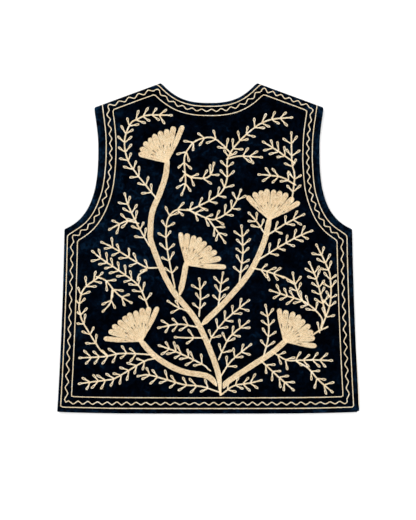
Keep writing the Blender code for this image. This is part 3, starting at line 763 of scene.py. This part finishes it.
def rounded(line, radius, closed=False):
    """A line with its corners eased, by averaging over a short stretch."""
    dense = spaced(line, 1 * MM)
    reach = max(1, round(radius / (1 * MM)))
    if closed:
        padded = np.vstack([dense[-reach - 1 : -1], dense, dense[1 : reach + 1]])
    else:
        before = 2 * dense[0] - dense[reach:0:-1]
        after = 2 * dense[-1] - dense[-2 : -reach - 2 : -1]
        padded = np.vstack([before, dense, after])
    window = np.ones(2 * reach + 1) / (2 * reach + 1)
    return np.stack([np.convolve(padded[:, k], window, "valid") for k in (0, 1)], axis=-1)


def waved(stretches, kinds):
    """A rounded zigzag along a ring of stretches, with longer waves down the sides."""
    line = rounded(np.vstack(stretches), WAVE_CORNER)
    dense = spaced(line, 0.5 * MM)
    long = np.array([lengths(stretch)[-1] for stretch in stretches])
    wave = np.array([SIDE_WAVE_LENGTH if "side" in kind else WAVE_LENGTH for kind in kinds])
    turns = np.concatenate([[0], np.cumsum(np.round(long / wave))])
    ends = np.concatenate([[0], np.cumsum(long)]) / long.sum()
    along = lengths(dense)
    phase = 2 * math.pi * np.interp(along / along[-1], ends, turns)
    uneven = 1 + 0.12 * np.sin(along / (37 * MM)) + 0.08 * np.sin(along / (11 * MM))
    swing = (np.sin(phase) - np.sin(3 * phase) / 14) * uneven
    return dense + left_of(tangents(dense)) * (WAVE_SWING * swing)[:, None]


# %% The border of the back
edges = border_edges()
inner_ring = rounded(np.vstack(border_stretches(edges, 2, True)), INNER_CORNER, closed=True)
wave_ring = waved(border_stretches(edges, 1, True), [kind for kind, line in edges])
body_edges = [edges[k] for k in (6, 7, 0, 1, 2)]
outer_body = rounded(np.vstack(border_stretches(body_edges, 0, False)), OUTER_CORNER)
outer_neck = rounded(border_stretches([edges[4]], 0, False)[0], OUTER_CORNER)


def up_to_seam(line):
    """The part of a line that lies on the back, short of the shoulder seams."""
    dense = spaced(line, 1 * MM)
    limit = FOLD_RADIUS * SHOULDER_TURN[0][1] - 0.6 * MM
    past = np.max([fold.beyond(dense) for fold in SHOULDERS.values()], axis=0)
    return dense[past < limit]


back_border = {
    "border_inner": [Row(inner_ring, ROW_WIDTH, LONG_PITCH)],
    "border_wave": [Row(wave_ring, ROW_WIDTH * 1.05, ROW_PITCH)],
    "border_outer": [Row(up_to_seam(outer_body), ROW_WIDTH, LONG_PITCH)],
    "border_neck": [Row(up_to_seam(outer_neck), ROW_WIDTH, LONG_PITCH)],
}
for name, rows in back_border.items():
    print(name, round(sum(lengths(row.line)[-1] for row in rows), 2), "m")

# %% [markdown]
# ## The tree
# The stems are bands of four rows side by side. They start together in a point at the hem and
# end under a flower. Each flower is a fan of petals. A petal is one row that goes up one side,
# round the tip and down the other, with a shorter row up its middle. Below the foot of the
# middle row, a thin dark slit of velvet shows between the sides.

# %% The stems
STEM_WIDTH, STEM_ROWS, STEM_PITCH = 8.6 * MM, 4, 2.7 * MM
STEM_LIFT, ROW_OVERLAP = 0.15 * MM, 1.04
ROOT_SHARE, TIP_SHARE = 0.22, 0.72
STEMS = {
    # from the foot of each stem, in mm
    "trunk": ((19, -226), (13, -185), (-17, -114), (-58, -60), (-86, 4), (-89, 30), (-86, 57),
              (-75, 84), (-66, 111), (-63, 135)),
    "stem_right": ((-11, -119), (30, -78), (65, -35), (86, 10), (94, 45)),
    "stem_middle": ((-44, -72), (-39, -50), (-34, -23)),
    "stem_low_left": ((14, -212), (-2, -197), (-42, -189), (-80, -168), (-104, -143)),
    "stem_low_right": ((19, -218), (31, -205), (64, -183), (98, -161), (120, -142)),
}
ROOT_TAPER, FOOT_TAPER, TIP_TAPER = 34 * MM, 12 * MM, 7 * MM


def clear_of_trunk(line):
    """A side stem's row from where it leaves the trunk."""
    trunk = smooth_curve(np.array(STEMS["trunk"]) * MM)
    dense = spaced(line, 0.5 * MM)
    far = distance_to(dense, trunk) >= STEM_WIDTH / 2 + 0.2 * MM
    return dense[int(np.argmax(far)) :]


def stem_rows(name):
    """The rows of a stem side by side, drawn together at its foot and a little at its tip."""
    line = spaced(smooth_curve(np.array(STEMS[name]) * MM), 1 * MM)
    along = lengths(line)
    taper = ROOT_TAPER if name == "trunk" else FOOT_TAPER
    spread = ROOT_SHARE + (1 - ROOT_SHARE) * smoothstep(along / taper)
    spread *= TIP_SHARE + (1 - TIP_SHARE) * smoothstep((along[-1] - along) / TIP_TAPER)
    row_width = STEM_WIDTH / STEM_ROWS
    rows = []
    for k in range(STEM_ROWS):
        offset = (k - (STEM_ROWS - 1) / 2) * row_width
        row = line + left_of(tangents(line)) * (offset * spread)[:, None]
        if name != "trunk":
            row = clear_of_trunk(row)
        rows.append(Row(row, row_width * ROW_OVERLAP, STEM_PITCH, STEM_LIFT))
    return rows


stems = {name: stem_rows(name) for name in STEMS}
print("stem rows:", sum(len(rows) for rows in stems.values()))

# %% The flowers
FLOWERS = {
    # the foot, the first and last petals' angles, how many, and the first, middle and
    # last petals' lengths, all but the angles in mm
    "flower_top_left": ((-63, 131), 162, 68, 9, (48, 49, 64)),
    "flower_top_right": ((94, 43), 132, 31, 9, (51, 48, 55)),
    "flower_middle": ((-35, -26), 99, -2, 9, (51, 47.5, 63)),
    "flower_low_left": ((-102, -144), 175, 66, 10, (60, 47.5, 60)),
    "flower_low_right": ((116, -144), 98, -7, 9, (52, 47.5, 51)),
}
FLOWER_FOOT = 3.0 * MM
PETAL_ROW, PETAL_MOST, END_PETAL, PETAL_PITCH = 2.5 * MM, 4.25 * MM, 3.8 * MM, 2.7 * MM
PETAL_OVERLAP, PETAL_LIFT, MIDDLE_LIFT = 0.15 * MM, 0.1 * MM, 0.2 * MM
SIDE_LEAST, MIDDLE_LEAST, MIDDLE_MOST = 1.25 * MM, 1.1 * MM, 3.8 * MM


def petal_side(half_angle, radius, end, most):
    """How far a petal reaches to each side at each distance from the flower's foot."""
    half = np.minimum(radius * math.sin(half_angle), most)
    tip = half[-1]
    return half * np.sqrt(np.clip(1 - ((radius - (end - tip)) / tip).clip(0) ** 2, 0, 1))


def petal_rows(foot, angle, half_angle, end, slit, most):
    """A row up one side of a petal, round its tip and down, and one row up its middle."""
    way = np.array((math.cos(angle), math.sin(angle)))
    radius = np.linspace(FLOWER_FOOT, end, 48)
    room = np.minimum(radius * math.sin(half_angle), most)
    width = np.clip(room + 0.35 * MM, SIDE_LEAST, PETAL_ROW)
    half = np.maximum(petal_side(half_angle, radius, end, most) + PETAL_OVERLAP - width / 2, 0)
    spine = foot + (radius - PETAL_ROW / 2 * (radius / end) ** 8)[:, None] * way
    left, right = (spine + side * half[:, None] * left_of(way) for side in (1, -1))
    outer = Row(np.vstack([left, right[-2::-1]]), PETAL_ROW, PETAL_PITCH, PETAL_LIFT)
    outer.width = np.concatenate([width, width[-2::-1]])
    start = (PETAL_ROW + 0.25 * MM) / math.sin(half_angle) + slit
    radius = np.linspace(start, end - 1.35 * PETAL_ROW, 16)
    middle = Row(foot + radius[:, None] * way, PETAL_ROW, PETAL_PITCH, MIDDLE_LIFT)
    free = 2 * (np.minimum(radius * math.sin(half_angle), most) - PETAL_ROW)
    middle.width = np.clip(free + MIDDLE_LEAST, MIDDLE_LEAST, MIDDLE_MOST)
    return [outer, middle]


def flower_rows(name):
    """A fan of petals, longest at its two ends, none quite like the next."""
    foot, first, last, petals, (early, middle, late) = FLOWERS[name]
    foot = np.array(foot) * MM
    step = math.radians(last - first) / (petals - 1)
    rows = []
    for k in range(petals):
        share, vary = k / (petals - 1), math.sin(2.3 * k + early)
        angle = math.radians(first) + step * (k + 0.05 * math.sin(4.1 * k + late))
        long = middle + (early - middle) * (1 - share) ** 4 + (late - middle) * share**4
        long, slit = (long + 0.7 * vary) * MM, (2 + 2 * vary) * MM
        most = END_PETAL if k in (0, petals - 1) else PETAL_MOST
        rows += petal_rows(foot, angle, abs(step) / 2, long, slit, most)
    return rows


flowers = {name: flower_rows(name) for name in FLOWERS}
print("petal rows:", sum(len(rows) for rows in flowers.values()))

# %% [markdown]
# ## The sprigs
# Fine sprigs fill the ground between the flowers. Each is one row of stitches with pairs of
# club-shaped leaves that lean towards its tip, and one leaf at the end. The points of their
# courses were read off the photo and thinned, and the leaves are grown by rule, each a
# little different in length and lean.

# %% Finding the nearest thread
def tree_of(points):
    """A search tree of flat points."""
    tree = kdtree.KDTree(len(points))
    for k, (x, y) in enumerate(points):
        tree.insert((x, y, 0), k)
    tree.balance()
    return tree


def nearest(tree, flat):
    """How far each flat point lies from the nearest point of a tree."""
    away = [tree.find((x, y, 0))[2] for x, y in flat.reshape(-1, 2)]
    return np.array(away).reshape(flat.shape[:-1])


border_points = tree_of(spaced(inner_ring, 1 * MM))

# %% The sprigs' courses
SPRIGS = (
    # pairs of leaves, the bare foot below them, then points from the foot to the tip, in mm
    (13, 10, (-81, 78), (-115, 121), (-125, 139), (-129, 158), (-127, 176), (-119, 193),
     (-109, 199), (-93, 205), (-55, 205)),
    (5, 12, (-92, 6), (-110, 38), (-124, 68), (-129, 86)),
    (2, 14, (-110, 39), (-124, 42), (-137, 37), (-154, 28)),
    (8, 12, (35, 146), (17, 164), (2, 171), (-20, 165), (-30, 154), (-37, 138), (-35, 101),
     (-42, 81)),
    (3, 14, (-37, 117), (-28, 110), (-7, 108), (4, 114), (9, 133)),
    (22, 21, (-52, -58), (-63, -4), (-65, 28), (-61, 48), (-49, 59), (-30, 59), (-13, 66), (11, 79),
     (22, 89), (29, 108), (31, 141), (56, 173), (89, 196), (131, 202)),
    (6, 11, (-30, 59), (1, 45), (14, 46), (24, 51), (35, 60), (44, 74), (51, 92)),
    (2, 14, (1, 44), (14, 26), (27, 7)),
    (2, 22, (31, 138), (41, 141), (54, 142), (84, 140)),
    (5, 13, (129, 74), (133, 111), (129, 133), (128, 180)),
    (3, 16, (131, 133), (107, 150), (83, 165)),
    (3, 11, (132, 99), (111, 110), (76, 114)),
    (3, 11, (94, 22), (121, 39), (149, 53)),
    (2, 10, (86, 24), (74, 42), (61, 56)),
    (5, 16, (80, -16), (121, 9), (149, 23), (162, 26)),
    (5, 14, (48, -52), (53, -10), (53, 8), (51, 37)),
    (3, 10, (71, -31), (88, -35), (106, -41), (118, -46)),
    (2, 21, (148, -84), (141, -75), (137, -65), (133, -54), (130, -36)),
    (0, 0, (171, -127), (168, -113)),
    (6, 30, (174, -121), (174, -106), (151, -84), (120, -73), (93, -64)),
    (8, 17, (175, -121), (188, -84), (188, -46), (183, -28), (166, 7)),
    (5, 18, (181, -102), (174, -74), (166, -46), (155, -20)),
    (4, 12, (86, -164), (92, -140), (93, -117), (88, -86)),
    (6, 7, (101, -161), (114, -169), (125, -173), (158, -172), (192, -173)),
    (3, 25, (138, -175), (154, -185), (170, -203), (193, -223)),
    (4, 8, (83, -175), (108, -198), (133, -220)),
    (4, 12, (21, -225), (39, -212), (62, -208), (84, -203)),
    (3, 18, (20, -196), (36, -173), (67, -147)),
    (4, 10, (17, -169), (28, -145), (38, -132), (64, -111)),
    (5, 8, (2, -145), (6, -136), (23, -114), (43, -96), (64, -79)),
    (3, 5, (16, -86), (19, -60), (23, -36)),
    (3, 8, (-14, -102), (-12, -76), (-14, -45)),
    (1, 14, (-31, -97), (-47, -91), (-64, -80)),
    (3, 12, (-20, -121), (-46, -117), (-79, -123)),
    (1, 11, (-12, -138), (-32, -138), (-53, -137)),
    (6, 15, (1, -187), (-9, -179), (-48, -160), (-78, -149)),
    (7, 17, (15, -221), (-10, -213), (-38, -210), (-66, -202), (-94, -195), (-110, -199)),
    (8, 16, (-83, -170), (-100, -175), (-141, -199), (-156, -203), (-180, -206), (-201, -209)),
    (6, 24, (-87, -164), (-132, -162), (-162, -167), (-200, -169)),
    (8, 23, (-158, -164), (-169, -153), (-192, -116), (-197, -102), (-199, -88), (-192, -63),
     (-170, -45), (-165, -35)),
    (3, 14, (-170, -45), (-158, -50), (-139, -71), (-117, -85)),
    (1, 16, (-148, -65), (-151, -84), (-164, -99)),
    (9, 14, (-92, -93), (-102, -67), (-111, -54), (-138, -34), (-165, -16), (-180, -3)),
    (5, 13, (-81, -30), (-93, -30), (-106, -24), (-145, 0), (-166, 10)),
)
LINKS = (
    # bare rows that join one sprig to the next, in mm
    ((-94, -33), (-107, -41), (-109, -50)),
    ((110, -42), (120, -46), (132, -53)),
    ((160, -134), (171, -127), (184, -121)),
)
LEAF_LENGTH, END_LEAF, LEAF_LEAN = 13.6 * MM, 11 * MM, math.radians(50)
LEAF_ROW, LEAF_STALK, LEAF_PITCH, LEAF_SWELL = 1.45 * MM, 2.2 * MM, 2.25 * MM, 1.75 * MM
LEAF_SHIFT, LEAF_BEND, LEAN_VARIES, LENGTH_VARIES = 0.8 * MM, 0.8 * MM, 0.18, 0.12
SPRIG_ROW, SPRIG_PITCH = 2.45 * MM, 3.0 * MM
TIP_STRETCH, ROOT_REACH, BORDER_CLEARANCE = 19.5 * MM, 3.5 * MM, 1.8 * MM


# %% Growing the leaves
def leaf_row(foot, way, long, bend):
    """Up a short stalk, then round a loop like a drop and back to the stalk."""
    swing = np.linspace(0, 2 * math.pi, 26)
    drop = (1 - np.cos(swing)) / 2
    share = np.concatenate([np.linspace(0, 0.4, 8)[:-1], 0.4 + 0.6 * drop])
    half = np.concatenate([np.zeros(7), LEAF_SWELL * np.sin(swing) * (0.3 + 0.7 * drop)])
    side = left_of(way)
    spine = foot + (share * long)[:, None] * way + (bend * share**2)[:, None] * side
    row = Row(spine + half[:, None] * side, LEAF_ROW, LEAF_PITCH)
    row.width[:7] = LEAF_STALK
    return row


def room_for(foot, way, long):
    """A leaf's length, shortened where it would grow over the border."""
    while long > LEAF_LENGTH / 2:
        spine = foot + np.linspace(0.3, 1, 6)[:, None] * long * way
        if nearest(border_points, spine).min() > BORDER_CLEARANCE:
            break
        long *= 0.9
    return long


def sprig_rows(number, pairs, bare, points):
    """A sprig's middle row, its pairs of leaves above its bare foot, and its last leaf.

    The pairs stand closer together towards the tip.
    """
    line = smooth_curve(np.array(points) * MM)
    line = spaced(np.vstack([line[0] - tangents(line)[0] * ROOT_REACH, line]), 0.5 * MM)
    way, total = tangents(line), lengths(line)[-1]
    bare = bare * MM + ROOT_REACH

    def index(place):
        return int(np.clip(place / total, 0, 1) * (len(line) - 1))

    last = index(total - END_LEAF)
    rows = [Row(line[: last + 1], SPRIG_ROW, SPRIG_PITCH)]
    rows.append(leaf_row(line[last], way[last], END_LEAF, 0))
    share = np.linspace(0, 1, pairs)
    places = bare + (total - TIP_STRETCH - bare) * share * (1.12 - 0.12 * share)
    for k, place in enumerate(places):
        for side in (-1, 1):
            vary = math.sin(7.1 * number + 2.9 * k + 1.7 * side)
            at = index(place + LEAF_SHIFT * side * vary)
            lean = side * (LEAF_LEAN + LEAN_VARIES * vary)
            turn = np.array(((math.cos(lean), -math.sin(lean)), (math.sin(lean), math.cos(lean))))
            leaf_way = turn @ way[at]
            vary = math.sin(5.3 * number + 1.9 * k + 2.3 * side)
            foot = line[at] + leaf_way * MM
            long = room_for(foot, leaf_way, LEAF_LENGTH * (1 + LENGTH_VARIES * vary))
            rows.append(leaf_row(foot, leaf_way, long, -side * LEAF_BEND))
    return rows


sprigs = {"sprigs_left": [], "sprigs_right": []}
for number, (pairs, bare, *points) in enumerate(SPRIGS):
    side = "sprigs_left" if np.mean(points, axis=0)[0] < 5 else "sprigs_right"
    sprigs[side] += sprig_rows(number, pairs, bare, points)
for points in LINKS:
    side = "sprigs_left" if points[0][0] < 0 else "sprigs_right"
    sprigs[side].append(Row(smooth_curve(np.array(points) * MM), SPRIG_ROW, SPRIG_PITCH))
print("sprig rows:", {name: len(rows) for name, rows in sprigs.items()})

# %% [markdown]
# ## The velvet panels
# Each panel is a thin wall: an outer and an inner sheet joined round the rim. The outer sheet
# sinks a little along every row of stitches, as pulled thread makes real velvet do. The fronts
# lie face down under the back, so only their open edges and undersides can be seen, and they
# lie a thread's thickness above the floor, on their own stitching.

# %% The panels' surfaces
PULL_REACH, FRONT_BED, BED_START, BED_REACH = 4.5 * MM, 0.8 * MM, 2.5 * MM, 10 * MM
FLOOR_GAP = 0.02 * MM
plans = (back_border, stems, flowers, sprigs)
back_rows = [row for plan in plans for rows in plan.values() for row in rows]
stitched = tree_of(np.vstack([spaced(row.line, 2 * MM) for row in back_rows]))
print("rows that pull on the velvet:", len(back_rows))


class Back:
    """The lie of the back: any flat point, at any height above its velvet, in the frame."""

    def __init__(self, free):
        self.free = free

    def lay(self, flat, lift, bead=None):
        at = on_fold_line(flat)
        level = back_level(at)
        if bead is None:
            bead = edge_bead(flat, self.free)
        return turned(flat, -lift, level + bead, from_below=False)


class Front:
    """The lie of a front, which rests on the floor on its embroidery."""

    def lay(self, flat, lift):
        bed = FRONT_BED * smoothstep((inside_folds(flat) + BED_START) / BED_REACH)
        place = turned(flat, bed - lift, 0.0, from_below=True)
        place[..., 2] = np.maximum(place[..., 2], FLOOR_GAP)
        return place


def pulled(flat):
    """How far the stitches near each point pull the velvet down."""
    return STITCH_PULL * np.exp(-((nearest(stitched, flat) / PULL_REACH) ** 2))


# %% Making a wall of cloth
def make_mesh(name, points, faces, material):
    mesh = bpy.data.meshes.new(name)
    mesh.from_pydata(points.tolist(), [], faces.tolist(), shade_flat=False)
    mesh.materials.append(material)
    made = bpy.data.objects.new(name, mesh)
    bpy.context.scene.collection.objects.link(made)
    return made


def cloth_wall(name, outer, inner, nose, material):
    """A cloth wall between an outer and an inner grid, closed round its rim."""
    rows, columns = outer.shape[:2]
    index = np.arange(rows * columns).reshape(rows, columns)
    quads = np.stack([index[:-1, :-1], index[:-1, 1:], index[1:, 1:], index[1:, :-1]], -1)
    quads = quads.reshape(-1, 4)
    ring = [(0, i) for i in range(columns)] + [(j, columns - 1) for j in range(1, rows)]
    ring += [(rows - 1, i) for i in range(columns - 2, -1, -1)]
    ring += [(j, 0) for j in range(rows - 2, 0, -1)]
    j, i = np.array(ring).T
    inward = (np.clip(j, 1, rows - 2), np.clip(i, 1, columns - 2))
    out = outer[j, i] - outer[inward]
    out /= np.linalg.norm(out, axis=1, keepdims=True)
    rim = (outer[j, i] + inner[j, i]) / 2 + out * (EDGE_NOSE * nose[j, i])[:, None]
    here = index[j, i]
    after, lower = np.roll(here, -1), rows * columns
    edge = 2 * rows * columns + np.arange(len(ring))
    next_edge = np.roll(edge, -1)
    upper_rim = np.stack([here, after, next_edge, edge], -1)
    lower_rim = np.stack([edge, next_edge, after + lower, here + lower], -1)
    faces = np.vstack([quads, quads[:, ::-1] + lower, upper_rim, lower_rim])
    points = np.vstack([outer.reshape(-1, 3), inner.reshape(-1, 3), rim])
    made = make_mesh(name, points, faces, material)
    fix = bmesh.new()
    fix.from_mesh(made.data)
    bmesh.ops.recalc_face_normals(fix, faces=fix.faces)
    fix.to_mesh(made.data)
    fix.free()
    return made


def flat_area(flat):
    """The area of the flat pattern, in square metres."""
    p, q, r, s = flat[:-1, :-1], flat[:-1, 1:], flat[1:, 1:], flat[1:, :-1]
    first, second = r - p, s - q
    return float(np.abs(first[..., 0] * second[..., 1] - first[..., 1] * second[..., 0]).sum() / 2)


# %% The back
BACK_WALL = 1.7 * MM
SHEEN_PATCHES = (
    # the middle of each patch of painted sheen, its reach, in mm, and how much
    (-190, 190, 55, 0.8), (-160, 110, 60, 0.5), (-175, 20, 70, 0.6), (-120, -30, 60, 0.8),
    (-65, 75, 50, 0.7), (-20, 15, 55, 0.4), (40, 165, 45, 0.5), (35, -50, 70, 0.5),
    (75, 40, 35, 0.4), (175, 170, 45, 0.5), (205, 60, 50, 0.5), (-200, -110, 50, 0.4),
)


def mark(piece, name, painted_sheen):
    """Gives a cloth wall's outer side one number a point, and its inner side and rim none."""
    inner_and_rim = np.zeros(len(piece.data.vertices) - painted_sheen.size)
    attribute = piece.data.attributes.new(name, "FLOAT", "POINT")
    attribute.data.foreach_set("value", np.concatenate([painted_sheen.ravel(), inner_and_rim]))


def paint_sheen(piece, flat, free):
    """Marks where a sheen is painted: along turned-in edges and folds, and in wider patches."""
    edge = np.min([distance_to(flat, line) for line in free], axis=0)
    fold = np.maximum(inside_folds(flat), 0)
    # painted sheen along turned-in edges and, weaker, along folds
    painted_sheen = np.exp(-((edge / (6 * MM)) ** 2)) + 0.7 * np.exp(-((fold / (5 * MM)) ** 2))
    mark(piece, "edge_sheen", painted_sheen)
    # wider patches of painted sheen on the pile
    sheen_patches = np.zeros(flat.shape[:-1])
    for x, y, reach, much in SHEEN_PATCHES:
        away = np.linalg.norm(flat - np.array((x, y)) * MM, axis=-1)
        sheen_patches += much * np.exp(-((away / (reach * MM)) ** 2))
    mark(piece, "sheen_patches", sheen_patches)


flat, free, nose = back_pattern(BACK_STEP)
back = Back(free)
bead = edge_bead(flat, free)
outer = back.lay(flat, -pulled(flat), bead)
inner = back.lay(flat, -BACK_WALL, np.zeros(bead.shape))
velvet_back = cloth_wall("velvet_back", outer, inner, nose, velvet.material)
paint_sheen(velvet_back, flat, free)
back_area = flat_area(flat)
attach(velvet_back, "root")
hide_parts("back")
print("back:", len(velvet_back.data.polygons), "faces, flat area", round(back_area, 4), "m2")

# %% The fronts
FRONT_BEAD = 0.6
front = Front()
fronts = {}
for name, side in (("left", -1), ("right", 1)):
    flat, free, nose = front_pattern(side, FRONT_STEP)
    outer = front.lay(flat, np.zeros(flat.shape[:-1]))
    inner = turned(flat, CLOTH, 0.0, from_below=True)
    inner[..., 2] += edge_bead(flat, free) * FRONT_BEAD
    piece = cloth_wall(f"velvet_front_{name}", outer, inner, nose, velvet.material)
    paint_sheen(piece, flat, free)
    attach(piece, "root")
    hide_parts(f"front_{name}")
    fronts[name] = (piece, flat_area(flat), flat)
    print(piece.name, len(piece.data.polygons), "faces, flat area", round(fronts[name][1], 4), "m2")

# %% [markdown]
# ## One stitch, many times
# A chain stitch is a loop of thread. It leaves the cloth inside the loop before it, lies on top
# of that loop's round end, opens out like a drop and is held down by the next one. We shape one
# closed loop from seven rings of four points, and lay a copy at every stitch of every row. The
# copies are worked out all at once as arrays, because there are thousands of them, and each one
# is bent over the cloth point by point, so that it follows every fold. Rows that lie alone on
# the velvet, in the border and the sprigs, are painted paler than the imported rows of the tree:
# a painted highlight for the light they catch with velvet on both sides.

# %% The stitch
LOOP = np.array((
    # along in stitch lengths, across and up in row widths
    (-0.06, 0.00, 0.44),
    (0.36, 0.25, 0.38),
    (0.80, 0.31, 0.27),
    (1.10, 0.15, 0.18),
    (1.10, -0.15, 0.18),
    (0.80, -0.31, 0.27),
    (0.36, -0.25, 0.38),
))
# the lone-row number lifts the shade of rows that lie alone: a painted highlight for the light they
# catch with velvet on both sides
STRAND, SINK_IN, LONE_ROW_HIGHLIGHT, SHORTEST = 0.20, 0.12, 0.32, 0.3 * MM
WIDTH_VARIES, PLACE_VARIES, SHADE_VARIES = 0.05, 0.04, 0.2


def stitch_shape():
    """The loop's points, as (along, across, up), and its faces."""
    way = np.roll(LOOP, -1, axis=0) - np.roll(LOOP, 1, axis=0)
    way[:, 2] = 0
    way /= np.linalg.norm(way, axis=1, keepdims=True)
    side = np.stack([-way[:, 1], way[:, 0], np.zeros(len(LOOP))], -1)
    up = np.array((0, 0, 1.0))
    ring = [LOOP + side * STRAND, LOOP + up * STRAND * 0.9, LOOP - side * STRAND]
    ring.append(LOOP - up * STRAND * 0.9)
    points = np.stack(ring, axis=1).reshape(-1, 3)
    faces = []
    for k in range(len(LOOP)):
        after = (k + 1) % len(LOOP)
        for m in range(4):
            n = (m + 1) % 4
            faces.append((k * 4 + m, k * 4 + n, after * 4 + n, after * 4 + m))
    return points, np.array(faces)


STITCH_POINTS, STITCH_FACES = stitch_shape()
shade_of = np.random.default_rng(7)


def stitches(rows):
    """Where each stitch of these rows starts, its direction, length, width and lift."""
    found = []
    for row in rows:
        along = lengths(row.line)
        count = max(1, round(along[-1] / row.pitch))
        stations = np.linspace(0, 1, count + 1)
        places = at_fraction(row.line, stations)
        step = np.diff(places, axis=0)
        size = np.linalg.norm(step, axis=1)
        width = np.interp((stations[:-1] + 0.5 / count) * along[-1], along, row.width)
        way = step / np.maximum(size, 1e-9)[:, None]
        lift = np.full(count, row.lift)
        table = np.column_stack([places[:-1], way, size, width, lift])
        found.append(table[size > SHORTEST])
    return np.vstack(found)


def embroider(name, rows, cloth, replaced=(), painted_highlight=LONE_ROW_HIGHLIGHT):
    """All the stitches of these rows as one piece of thread work on a panel."""
    table = stitches(rows)
    start, way = table[:, None, :2], table[:, None, 2:4]
    size, width, lift = table[:, 4:5], table[:, 5:6], table[:, 6:7]
    jitter = shade_of.normal(0, 1, (len(table), 3))
    shape = STITCH_POINTS[None]
    along = shape[..., 0] * size
    across = shape[..., 1] * (width * (1 + WIDTH_VARIES * jitter[:, :1]))
    across = across + PLACE_VARIES * width * jitter[:, 1:2]
    up = (shape[..., 2] - SINK_IN) * width + lift
    flat = start + along[..., None] * way + across[..., None] * left_of(way)
    pull = STITCH_PULL if cloth is back else 0.0
    points = cloth.lay(flat, up - pull).reshape(-1, 3)
    shift = (np.arange(len(table)) * len(STITCH_POINTS))[:, None, None]
    faces = (STITCH_FACES[None] + shift).reshape(-1, 4)
    piece = make_mesh(name, points, faces, thread.material)
    # each stitch's own shade, plus the painted highlight of a lone row
    shade = np.clip(0.5 + painted_highlight + SHADE_VARIES * jitter[:, 2], 0, 1.2)
    attribute = piece.data.attributes.new("shade", "FLOAT", "POINT")
    attribute.data.foreach_set("value", np.repeat(shade, len(STITCH_POINTS)))
    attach(piece, "root")
    if replaced:
        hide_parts(*replaced)
    print(name, len(table), "stitches,", 2 * len(faces), "triangles")
    return piece


# %% [markdown]
# ## Working the embroidery
# Now every planned row is stitched: the border, the stems, the flowers and the sprigs. Each
# piece of the border and the tree stands in for the plain raised solid of the same name.

# %% The back's embroidery
thread_work = []
# the border gets the painted highlight of lone rows, the packed stems and flowers none
for plan, painted_highlight in ((back_border, LONE_ROW_HIGHLIGHT), (stems, 0.0), (flowers, 0.0)):
    for name, rows in plan.items():
        thread_work.append(embroider(f"stitched_{name}", rows, back, (name,), painted_highlight))
for name, rows in sprigs.items():
    thread_work.append(embroider(f"stitched_{name}", rows, back))


# %% The fronts' border
def front_border(side):
    """The three rows round a front, at their own distances from its edges and seams."""
    hem, seam, hole, shoulder, neckline = front_outline(side)
    edge_foot = (neckline[0, 0], height(FRONT_HEM_LIFTS[0]))
    parts = (
        ("hem", hem),
        ("front side", seam),
        ("front armhole", spaced(smooth_curve(hole[::6]), 4 * MM)),
        ("front shoulder", shoulder[[0, -1]]),
        ("front edge", np.vstack([edge_foot, neckline])[::-1]),
    )
    rows = []
    for which in range(3):
        lines = border_stretches(parts, which, True, side)
        if which == 1:
            line = waved(lines, [kind for kind, line in parts])
        else:
            line = rounded(np.vstack(lines), OUTER_CORNER, closed=True)
        rows.append(Row(line, ROW_WIDTH, LONG_PITCH))
    return rows


for name, side in (("left", -1), ("right", 1)):
    thread_work.append(embroider(f"stitched_front_{name}", front_border(side), front))

# %% [markdown]
# ## The size of each velvet panel
# The velvet panels are sheets, and each has its finished size, laid flat. Seam allowances and
# hems are turned inside and aren't counted, as they don't show.

# %% The sheets
def cut_size(flat):
    spread = flat.reshape(-1, 2).max(axis=0) - flat.reshape(-1, 2).min(axis=0)
    return float(spread[0]), float(spread[1])


flat_back = back_pattern(CUT_STEP)[0]
cut_size(flat_back)
for piece, area, flat in fronts.values():
    cut_size(flat)
    print(piece.name, "cut", [round(v, 3) for v in cut_size(flat)])
print("back cut", [round(v, 3) for v in cut_size(flat_back)])

# %% [markdown]
# ## The table under the vest
# A plain pale surface, wide enough to fill every view. It is stage, not part of the vest.

# %% The floor
paper = Paint("pale_paper", Roughness=0.9, Metallic=0.0)
grain = paper.noise(40, 2)
paper.surface(Base_Color=paper.ramp(grain, (0.3, (0.90, 0.90, 0.90)), (0.7, (0.92, 0.92, 0.92))))
floor = make_mesh(
    "floor",
    np.array(((-4, -4, 0), (4, -4, 0), (4, 4, 0), (-4, 4, 0)), float),
    np.array(((0, 1, 2, 3),)),
    paper.material,
)

# %% [markdown]
# ## Finishing
# The dressed vest may not be larger than the measured one.

# %% The sizes
print("triangles of thread:", sum(2 * len(piece.data.polygons) for piece in thread_work))
